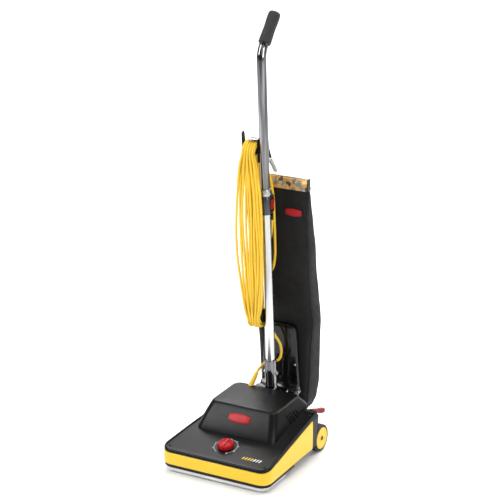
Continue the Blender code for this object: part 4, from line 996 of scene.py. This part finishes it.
def make_socket():
    """The sleeve that holds the tube, its bridge, and the two legs on the pivot pins."""
    loops = []
    for s, half_x, half_n, power in ((0.0405, 0.0495, 0.012, 0.3), (0.042, 0.0498, 0.0123, 0.3),
                                     (0.0545, 0.0498, 0.0123, 0.3), (0.056, 0.049, 0.0121, 0.32),
                                     (0.0566, 0.026, 0.0165, 0.75), (0.058, 0.0192, 0.0169, 0.95),
                                     (0.061, 0.0175, 0.017, 1.0), (0.07, 0.0171, 0.017, 1.0),
                                     (0.1, 0.017, 0.017, 1.0), (0.1435, 0.017, 0.017, 1.0),
                                     (0.1445, 0.0166, 0.0166, 1.0), (0.1447, 0.016, 0.016, 1.0),
                                     (0.1447, 0.0137, 0.0137, 1.0), (0.13, 0.0137, 0.0137, 1.0)):
        ring = []
        for k in range(64):
            angle = 2 * pi * k / 64
            c, d = cos(angle), sin(angle)
            ring.append(on_handle(half_x * signed_power(c, power), half_n * signed_power(d, power), s))
        loops.append(ring)
    shapes = [skin(loops)]
    for side in (-1, 1):
        leg = sorted((side * 0.0415, side * 0.0495))
        round_end = [(0.0118 * cos(pi + pi * k / 14), -0.0012 + 0.0118 * sin(pi + pi * k / 14))
                     for k in range(15)]
        edge = [(-0.0118, 0.046)] + round_end + [(0.0118, 0.046)]
        shapes.append(skin([[on_handle(x, n, s) for n, s in edge] for x in leg]))
    group("fork_socket", shapes, CHROME, "handle", "chrome", ["handle_socket"], sharp=45)

    slots = []
    for angle in (-150, -90, -30, 30, 90, 150):
        turn = LEAN @ Matrix.Rotation(radians(angle), 4, 'Z')
        slots.append(block((0.015, -0.0022, 0.1432), (0.0173, 0.0022, 0.1442), turn))
    group("socket_slots", slots, BLACK, "handle", "black_plastic", bevel=0.0002)


def make_socket_bolt():
    """The bolt through the socket: washers, hexagonal ends and shank."""
    heads = []
    for side in (-1, 1):
        foot = on_handle(side * 0.0168, 0, BOLT_UP)
        place = along(foot, on_handle(side * 0.05, 0, BOLT_UP))
        washer = [(0.0066, -0.0006), (0.0068, 0.0006), (0.0066, 0.001), (0.0052, 0.0012)]
        heads.append(turned(washer, place, 32))
        heads.append(turned([(0.0001, 0.0008), (0.005, 0.0008), (0.0052, 0.0014), (0.005, 0.004),
                             (0.0044, 0.0048), (0.0001, 0.005)], place, 6))
    heads.append(turned([(0.0001, -0.0168), (0.003, -0.0168), (0.003, 0.0168), (0.0001, 0.0168)],
                        along(on_handle(0, 0, BOLT_UP), on_handle(1, 0, BOLT_UP)), 20))
    group("socket_bolt_set", heads, STEEL, "handle", "steel", ["socket_bolt"], bevel=0.0003)


def make_collar():
    """The clamping ring between the two tubes."""
    collar = [(0.013, 0.6343), (0.0154, 0.6343), (0.0158, 0.635), (0.0158, 0.6398), (0.0155, 0.6402),
              (0.0155, 0.6406), (0.0158, 0.641), (0.0158, 0.652), (0.0154, 0.6529), (0.013, 0.653)]
    spun("housing_collar", collar, LEAN, 72, STEEL, "handle", "steel", ["tube_collar"], ring=True)


def make_upper_tube():
    """The upper tube with its bend, and the ribbed grip on it."""
    grip_start, grip_end = Vector((0, 0.0176, 1.0521)), Vector((0, 0.0817, 1.1211))
    line = grip_end - grip_start
    length = line.length
    line.normalize()
    angle = atan2(line.y, line.z)
    corner = Vector((0, 0, grip_start.z - grip_start.y * line.z / line.y))
    reach = min(corner.z - 1.01, (grip_start - corner).length)
    radius = reach / sin(angle / 2) * cos(angle / 2)
    path = [Vector((0, 0, 0.635 + (corner.z - reach - 0.635) * k / 24)) for k in range(24)]
    for k in range(25):
        turn = angle * k / 24
        path.append(Vector((0, radius - radius * cos(turn), corner.z - reach + radius * sin(turn))))
    path += [grip_start + line * (length - 0.012) * k / 8 for k in range(1, 9)]
    points, faces = skin(rings_along([LEAN @ p for p in path], 0.0127, 72))
    piece("tube_upper", points, faces, CHROME, "handle", "chrome", ["upper_tube"])

    profile = [(0.013, 0.0), (0.015, 0.0), (0.0163, 0.001), (0.017, 0.003), (0.0168, 0.007)]
    for k in range(13):
        foot = 0.01 + 0.0056 * k
        size = 0.0166 + 0.0004 * cos(2 * pi * k / 12)
        profile += [(size, foot), (size, foot + 0.0032), (size - 0.0006, foot + 0.0038),
                    (size - 0.0006, foot + 0.005)]
    profile += [(0.0168, length - 0.01), (0.0166, length - 0.006), (0.0152, length - 0.0022),
                (0.0115, length - 0.0004), (0.006, length), (0.0001, length)]
    place = LEAN @ along(grip_start, grip_start + line)
    spun("hand_grip", profile, place, 72, RUBBER, "handle", "rubber", ["grip"], sharp=40)


def make_switch():
    """Switch housing clamped round the tube, with its rocker and bezel."""
    sleeve = [(0.0136, 0.58), (0.0146, 0.58), (0.0152, 0.581), (0.0152, 0.633), (0.0146, 0.634),
              (0.013, 0.634)]
    points, faces = turned(sleeve, LEAN, 64)
    pocket = block((0.0092, -0.002, 0.5898), (0.03, 0.014, 0.6242), LEAN)
    clamp = piece("switch_sleeve", points, faces, GREY, "handle", "grey_plastic", sharp=40)
    carve(clamp, [pocket])
    loops = []
    for n, half, low, high in ((0.002, 0.015, 0.5806, 0.6334), (0.019, 0.0146, 0.5806, 0.6334),
                               (0.025, 0.0126, 0.5816, 0.6324), (0.0285, 0.0085, 0.584, 0.63)):
        plan = rounded_plan(half, low, high, 0.006, 0.006, 6)
        loops.append([on_handle(x, n, s) for x, s in plan])
    box = loft("switch_box", loops, GREY, "handle", "grey_plastic", ["switch_housing"], sharp=40)
    carve(box, [pocket])
    loops = []
    for x, grow in ((0.014, 0.0), (0.0166, 0.0), (0.017, -0.0006), (0.0168, -0.0014), (0.014, -0.0017)):
        plan = rounded_plan(0.0095 + grow, -0.019 - grow, 0.019 + grow, 0.0028, 0.0028, 4)
        loops.append([on_handle(x, 0.006 + a, 0.607 + b) for a, b in plan])
    loft("rocker_bezel", loops, BLACK, "handle", "black_plastic", ring=True, sharp=40)
    rocker = [(0.015, 0.5926), (0.0163, 0.5926), (0.017, 0.594), (0.0174, 0.598), (0.0181, 0.604),
              (0.0186, 0.608), (0.0196, 0.614), (0.0208, 0.619), (0.0211, 0.6208), (0.0204, 0.6214),
              (0.015, 0.6214)]
    loops = [[on_handle(x, n, s) for x, s in rocker] for n in (-0.0007, 0.0127)]
    loft("rocker", loops, RED, "rocker_switch", "red_plastic", ["rocker_switch"], bevel=0.0006)


def make_hooks():
    """The chromed saddle and cap, the black fingers, and the lower hook that the cord is wound on."""
    inner = HANK_MIDDLE - 2 * HANK_LAYER - 0.0004
    outline = [(inner * cos(pi * k / 24), HANK_TOP + inner * sin(pi * k / 24)) for k in range(25)]
    shapes = [skin([[on_handle(x, n, u) for n, u in outline] for x in (-0.0164, -0.0588)])]
    loops = []
    for lift, grow in ((0.0361, 0.0), (0.0372, 0.0005), (0.0384, 0.0), (0.0394, -0.003), (0.0399, -0.007)):
        plan = rounded_plan(0.0155 + grow, -0.012 - grow, 0.012 + grow, 0.0085, 0.0085, 8)
        loops.append([on_handle(-0.029 + a, b, HANK_TOP + lift) for a, b in plan])
    shapes.append(skin(loops))
    group("cord_saddle", shapes, CHROME, "handle", "chrome", ["upper_hook_saddle"], sharp=40)
    plate = block((-0.0165, -0.009, HANK_TOP - 0.026), (-0.0132, 0.015, HANK_TOP + 0.0405), LEAN)
    piece("saddle_bracket", *plate, BLACK, "handle", "black_plastic", bevel=0.0012)

    def finger(name, x, low, high, swell, replaced):
        loops = []
        for k in range(13):
            t = k / 12
            s = low + (high - low) * t
            half = 0.0036 * (1 - 0.35 * ease((t - swell) / (1 - swell)))
            if k in (0, 12):
                half *= 0.6
            plan = rounded_plan(half, -0.0058, 0.0058, 0.0018, 0.0018, 4)
            drift = -0.0022 * t if high > HANK_TOP else 0.0
            loops.append([on_handle(x + drift + a, b, s) for a, b in plan])
        return loft(name, loops, BLACK, "handle", "black_plastic", replaced, sharp=40)

    finger("upper_finger", -0.0617, HANK_TOP - 0.006, HANK_TOP + 0.055, 0.6, ["upper_hook_finger"])
    outline = [(inner * cos(pi * k / 24), HANK_BOTTOM - inner * sin(pi * k / 24)) for k in range(25)]
    shapes = [skin([[on_handle(x, n, u) for n, u in outline] for x in (-0.0164, -0.0628)]),
              block((-0.0163, -0.015, HANK_BOTTOM - 0.02), (-0.0139, 0.015, HANK_BOTTOM + 0.02), LEAN),
              block((-0.0657, -0.006, HANK_BOTTOM - 0.037), (-0.059, 0.006, HANK_BOTTOM), LEAN)]
    group("lower_cord_hook", shapes, BLACK, "handle", "black_plastic", ["lower_hook"], bevel=0.001)


# ---- bag and duct -------------------------------------------------------------------------------
BAG_STATIONS = [(0.062, 0.034, 0.19, 0.215), (0.07, 0.06, 0.172, 0.232), (0.1, 0.072, 0.158, 0.242),
                (0.15, 0.079, 0.1507, 0.245), (0.25, 0.086, 0.1507, 0.24),
                (0.342, 0.092, 0.1507, 0.229), (0.42, 0.095, 0.133, 0.213),
                (0.54, 0.096, 0.113, 0.186), (0.64, 0.098, 0.1045, 0.16),
                (0.72, 0.099, 0.102, 0.134), (0.775, 0.099, 0.106, 0.116)]


def bag_station(z):
    """Half width, front and rear of the bag at a height."""
    for a, b in zip(BAG_STATIONS, BAG_STATIONS[1:]):
        if z <= b[0]:
            t = ease((z - a[0]) / (b[0] - a[0])) * 0.35 + 0.65 * (z - a[0]) / (b[0] - a[0])
            return [p + (q - p) * t for p, q in zip(a[1:], b[1:])]
    return list(BAG_STATIONS[-1][1:])


def bag_point(z, angle):
    """A place on the cloth, with its folds and sag."""
    half, front, rear = bag_station(z)
    middle = (front + rear) / 2
    depth = (rear - front) / 2
    c, s = cos(angle), sin(angle)
    x = half * signed_power(c, 0.32)
    y = middle + depth * signed_power(s, 0.58)
    share = (z - 0.062) / 0.713
    loose = sin(pi * min(1.0, share * 1.05)) ** 0.7 * ease((0.745 - z) / 0.05)
    fold = noise.noise(Vector((x * 16, angle * 0.6, z * 5.0)))
    crease = noise.noise(Vector((x * 34 + z * 13, angle, z * 16 - x * 9)))
    pull = -(0.0026 * fold + 0.0011 * crease) * loose - 0.0006 * loose
    side = abs(c) ** 3
    gusset = -0.004 * side * loose * (0.6 + 0.4 * sin(z * 31))
    out = Vector((c, s, 0)).normalized()
    place = Vector((x, y, z)) + out * (pull if s > 0 or z > 0.34 else 0.3 * pull)
    place.x += gusset * (1 if c > 0 else -1)
    if s < 0 and z < 0.345:
        place.y = max(place.y, 0.1505)
    return place


def flatten(cloth):
    """Gives the cloth piece its own copy of its mesh."""
    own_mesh(cloth)


def make_cloth():
    """The twill bag with its piped and stitched seams."""
    sides = 120
    levels = [0.062, 0.0645, 0.067, 0.07] + [0.07 + 0.705 * k / 110 for k in range(1, 111)]
    loops = [[bag_point(z, 2 * pi * (k + 0.5) / sides) for k in range(sides)] for z in levels]
    bag = loft("cloth_bag", loops, CLOTH, "handle", "bag_fabric", ["dust_bag"], sharp=0, levels=1)
    pieces = [bag]

    seams = []
    for angle in (radians(-152), radians(-28), radians(28), radians(152)):
        line = []
        for k in range(90):
            z = 0.072 + 0.668 * k / 89
            at = bag_point(z, angle)
            out = Vector((cos(angle), sin(angle), 0))
            line.append(at + out * 0.0006)
        seams.append(skin(rings_along(line, 0.0012, 8)))
    pieces.append(group("bag_piping", seams, CLOTH, "handle", "bag_fabric", sharp=0))

    stitches = []
    for angle in (radians(-155.5), radians(-24.5)):
        for k in range(120):
            z = 0.085 + 0.64 * k / 120
            a, b = bag_point(z, angle), bag_point(z + 0.003, angle)
            out = Vector((0.2 * cos(angle), -1, 0)).normalized() * 0.0005
            stitches.append(skin(rings_along([a, a + out, b + out, b], 0.00035, 5)))
    pieces.append(group("bag_stitches", stitches, THREAD, "handle", "bag_fabric", sharp=0))
    for cloth in pieces:
        flatten(cloth)


def make_liner():
    """The paper bag inside the cloth: folded sides, crinkled faces and a card round its mouth."""
    loops = []
    for k in range(61):
        z = 0.15 + 0.39 * k / 60
        half, front, rear = bag_station(z)
        half, depth = half - LINER_GAP, (rear - front) / 2 - LINER_GAP
        loop = []
        for j in range(96):
            angle = 2 * pi * (j + 0.5) / 96
            c, s = cos(angle), sin(angle)
            x = half * signed_power(c, 0.3)
            y = (front + rear) / 2 + depth * signed_power(s, 0.5)
            crinkle = 0.0012 * noise.noise(Vector((x * 40, angle, z * 30)))
            gusset = 0.01 * max(0.0, 1 - abs(s) / 0.6)
            loop.append(Vector((x - gusset * (1 if c > 0 else -1), y + crinkle, z)))
        loops.append(loop)
    mouth = bag_station(0.25)[1] + LINER_GAP
    card = block((-0.034, mouth - 0.001, 0.2), (0.034, mouth + 0.0008, 0.3))
    liner = group("paper_liner", [skin(loops), card], PAPER, "handle", "paper", ["filter_bag"], sharp=50)
    flatten(liner)


def make_closure():
    """The folded strip that closes the bag, and the bar it hangs from."""
    top = []
    for along_strip in range(49):
        x = -0.0975 + 0.195 * along_strip / 48
        wave = 0.0006 * sin(along_strip * 0.9)
        ring = []
        for y, z in ((0.0998, 0.7465), (0.1004, 0.756), (0.1018, 0.766), (0.1034, 0.7705), (0.1052, 0.7722),
                     (0.1085, 0.7776), (0.114, 0.7776), (0.1168, 0.7768), (0.1186, 0.7745), (0.1204, 0.768),
                     (0.1242, 0.756), (0.1275, 0.7465), (0.1265, 0.7465), (0.1232, 0.756), (0.1194, 0.7678),
                     (0.1172, 0.7738), (0.1136, 0.7768), (0.109, 0.7768), (0.106, 0.776), (0.1048, 0.7738),
                     (0.1036, 0.7678), (0.1024, 0.756), (0.102, 0.7465)):
            ring.append((x, y + wave, z))
        top.append(ring)
    loft("closure_strip", top, FOIL, "handle", "steel", sharp=50)
    bar = rings_along([(-0.0985, 0.1108, 0.7792), (0.0985, 0.1108, 0.7792)], 0.0014, 12)
    loop = [(-0.005, 0.1108, 0.778), (-0.0052, 0.1106, 0.783), (-0.004, 0.1098, 0.7868),
            (0.0, 0.1094, 0.7884), (0.004, 0.1098, 0.7868), (0.0052, 0.1106, 0.783), (0.005, 0.1108, 0.778)]
    shapes = [skin(bar), skin(rings_along(smooth_route(loop, 0.001), 0.0009, 8))]
    ends = [block((side * 0.0985 - 0.0012, 0.1035, 0.747), (side * 0.0985 + 0.0012, 0.119, 0.78))
            for side in (-1, 1)]
    group("closure_ends", ends, BLACK, "handle", "black_plastic", bevel=0.0005)
    group("closure_bar", shapes, STEEL, "handle", "steel", ["bag_top_clip"], bevel=0.0003)


def make_spring():
    """The coil spring that holds the bag up, hooked at both ends, and its strap."""
    spring_top, spring_foot = Vector((0, 0.0725, 0.8335)), Vector((0, 0.1062, 0.7902))
    axis = spring_top - spring_foot
    place = along(spring_foot, spring_top)
    coil = []
    turns, steps = 22, 22 * 14
    for k in range(steps + 1):
        angle = 2 * pi * turns * k / steps
        coil.append(place @ Vector((0.0056 * cos(angle), 0.0056 * sin(angle),
                                    0.004 + (axis.length - 0.008) * k / steps)))
    hook = [place @ Vector((0.003 * cos(a), 0, 0.0015 + 0.003 * sin(a))) for a in
            (pi * 1.6 + 2 * pi * 0.8 * k / 12 for k in range(13))]
    eye = [place @ Vector((0.003 * cos(a), 0, axis.length - 0.0015 + 0.003 * sin(a))) for a in
           (pi * 0.6 + 2 * pi * 0.8 * k / 12 for k in range(13))]
    points, faces = join(*(skin(rings_along(line, 0.0007, 8)) for line in (coil, hook, eye)))
    piece("bag_spring_coil", points, faces, STEEL, "handle", "steel", ["bag_spring"], sharp=0)

    strap = [(0.0532, 0.89), (0.0556, 0.8898), (0.0578, 0.87), (0.064, 0.856), (0.0733, 0.8372),
             (0.0712, 0.8362), (0.062, 0.8545), (0.0556, 0.8692)]
    loops = [[(x, y, z) for y, z in strap] for x in (-0.005, 0.005)]
    loft("spring_strap", loops, BLACK, "handle", "black_plastic", ["spring_bracket"], bevel=0.0005)


def make_label():
    """Blank red label on the cloth."""
    x, z, step = 0.057, 0.682, 0.02
    front = bag_point(z, radians(-90)).y
    above = bag_point(z + step, radians(-90)).y
    rise = Vector((0, above - front, step)).normalized()
    normal = Vector((0, -rise.z, rise.y))
    facing = Matrix((Vector((1, 0, 0)), -normal, rise)).transposed().to_4x4()
    place = Matrix.Translation((x, front - 0.0012, z)) @ facing
    loops = [[place @ p for p in loop] for loop in lozenge(0.05, 0.0215, 0.0012, dome=0.0003)]
    loft("bag_label", loops, RED, "handle", "red_plastic", sharp=40)


def make_duct():
    """Glossy duct behind the tube, with its screw."""
    loops = []
    heights = [0.1253, 0.127, 0.13, 0.136, 0.142, 0.15, 0.16, 0.175, 0.2, 0.23, 0.26, 0.29,
               0.31, 0.32, 0.326, 0.33, 0.333, 0.3352, 0.3366, 0.3375, 0.338]
    for z in heights:
        half = 0.06 - 0.012 * max(0.0, z - 0.16) / 0.178
        if z > 0.322:
            rise = (z - 0.322) / 0.016
            half -= 0.016 * (1 - sqrt(max(0.0, 1 - rise * rise)))
        if z < 0.1285:
            half -= 0.003 * (1 - (z - 0.1253) / 0.0032)
        front = 0.134 - 0.02 * ease((0.162 - z) / 0.022)
        if z > 0.33:
            front += 0.006 * ((z - 0.33) / 0.008) ** 2
        plan = rounded_plan(half, front, 0.15, 0.0055, 0.002, 8)
        bow = 0.0028
        loops.append([(x, y - (bow * (1 - (x / half) ** 2) if y < 0.142 else 0.0), z) for x, y in plan])
    loft("duct_shell", loops, GLOSS, "handle", "gloss_black", ["exhaust_duct"], sharp=50)

    screw = along((0.049, 0.133, 0.222), (0.049, 0.1, 0.222))
    head = [(0.003, -0.002), (0.0034, 0.0004), (0.0026, 0.0014), (0.001, 0.0018), (0.0001, 0.0018)]
    spun("duct_screw", head, screw, 24, STEEL, "handle", "steel")


def make_boot():
    """The ribbed rubber boot between the fan outlet and the duct."""
    stops = [(0, 0.06, 0.085), (0, 0.072, 0.085), (0, 0.096, 0.0865), (0, 0.118, 0.096),
             (0, 0.1302, 0.112), (0, 0.131, 0.12), (0, 0.131, 0.1248)]
    path = smooth_route(stops, 0.0008)

    def ribs(share):
        middle = ease(share / 0.12) * ease((1 - share) / 0.12)
        return 0.0158 - 0.0013 * middle * (0.5 + 0.5 * cos(2 * pi * 15 * share))

    boot = loft("outlet_boot", rings_along(path, ribs, 40), RUBBER, None, "rubber", ["exhaust_boot"],
                sharp=0)
    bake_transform(boot)


def make_latch():
    """The wire latch on the duct's right side."""
    plate = rounded_plan(0.0085, 0.1372, 0.1558, 0.004, 0.004, 6)
    loops = [[(x, 0.139 + a, z) for a, z in plate] for x in (0.0604, 0.0612)]
    shapes = [skin(loops)]
    arm = [(0.0614, 0.1345, 0.1535), (0.0628, 0.135, 0.15), (0.0632, 0.1385, 0.145),
           (0.0626, 0.143, 0.1405),
           (0.0616, 0.1455, 0.139)]
    shapes.append(skin(rings_along(smooth_route(arm, 0.001), 0.0013, 10)))
    shapes.append(turned([(0.0001, 0), (0.003, 0), (0.0032, 0.001), (0.0022, 0.0018), (0.0001, 0.002)],
                         along((0.061, 0.1345, 0.1525), (0.07, 0.1345, 0.1525)), 24))
    group("duct_latch", shapes, CHROME, "duct_clip", "steel", ["duct_clip"], bevel=0.0002)


# ---- CAD nodes that stay ------------------------------------------------------------------------
def dress(node, look, bevel=0.0005):
    """A kept node's material, with its edges eased."""
    node.data.materials.clear()
    node.data.materials.append(look)
    node.data.shade_smooth()
    weld = node.modifiers.new("weld", 'WELD')
    weld.merge_threshold = 0.00001
    round_edges(node, bevel, 2)


def dress_kept_nodes():
    """Materials for the housing, the motor, the brush and the other working parts."""
    looks = {"base_housing": BLACK, "bottom_plate": SOLE, "motor_stator": STEEL, "motor_end_bell": GREY,
             "motor_bearing_left": STEEL, "motor_bearing_right": STEEL, "carbon_brush_upper": GREY,
             "carbon_brush_lower": GREY, "fan_housing": GREY, "outlet_pipe": BLACK, "drive_belt": RUBBER,
             "brush_bearing_left": STEEL, "brush_bearing_right": STEEL, "rear_axle": STEEL,
             "pivot_pin_left": STEEL, "pivot_pin_right": STEEL, "brush_core": WOOD,
             "bristle_row_front": RUBBER, "bristle_row_rear": RUBBER, "motor_shaft": STEEL,
             "armature": COPPER, "fan": STEEL, "front_carriage": STEEL, "front_roller_left": RUBBER,
             "front_roller_right": RUBBER}
    for name, look in looks.items():
        dress(frame["nodes"][name], look, 0.0012 if name in ("base_housing", "bottom_plate") else 0.0004)


for make in (make_camera, make_floor, make_world, make_lights, make_mains_cord, make_lead, make_bumper,
             make_deck, make_cheeks, make_lip, make_deck_screws, make_hood, make_hood_badge,
             make_dial_marks, make_stripes, make_knob, make_wheels, make_pedal, make_lower_tube,
             make_socket, make_socket_bolt, make_collar, make_upper_tube, make_switch, make_hooks,
             make_cloth, make_closure, make_spring, make_label, make_liner, make_duct, make_boot, make_latch,
             dress_kept_nodes):
    make()
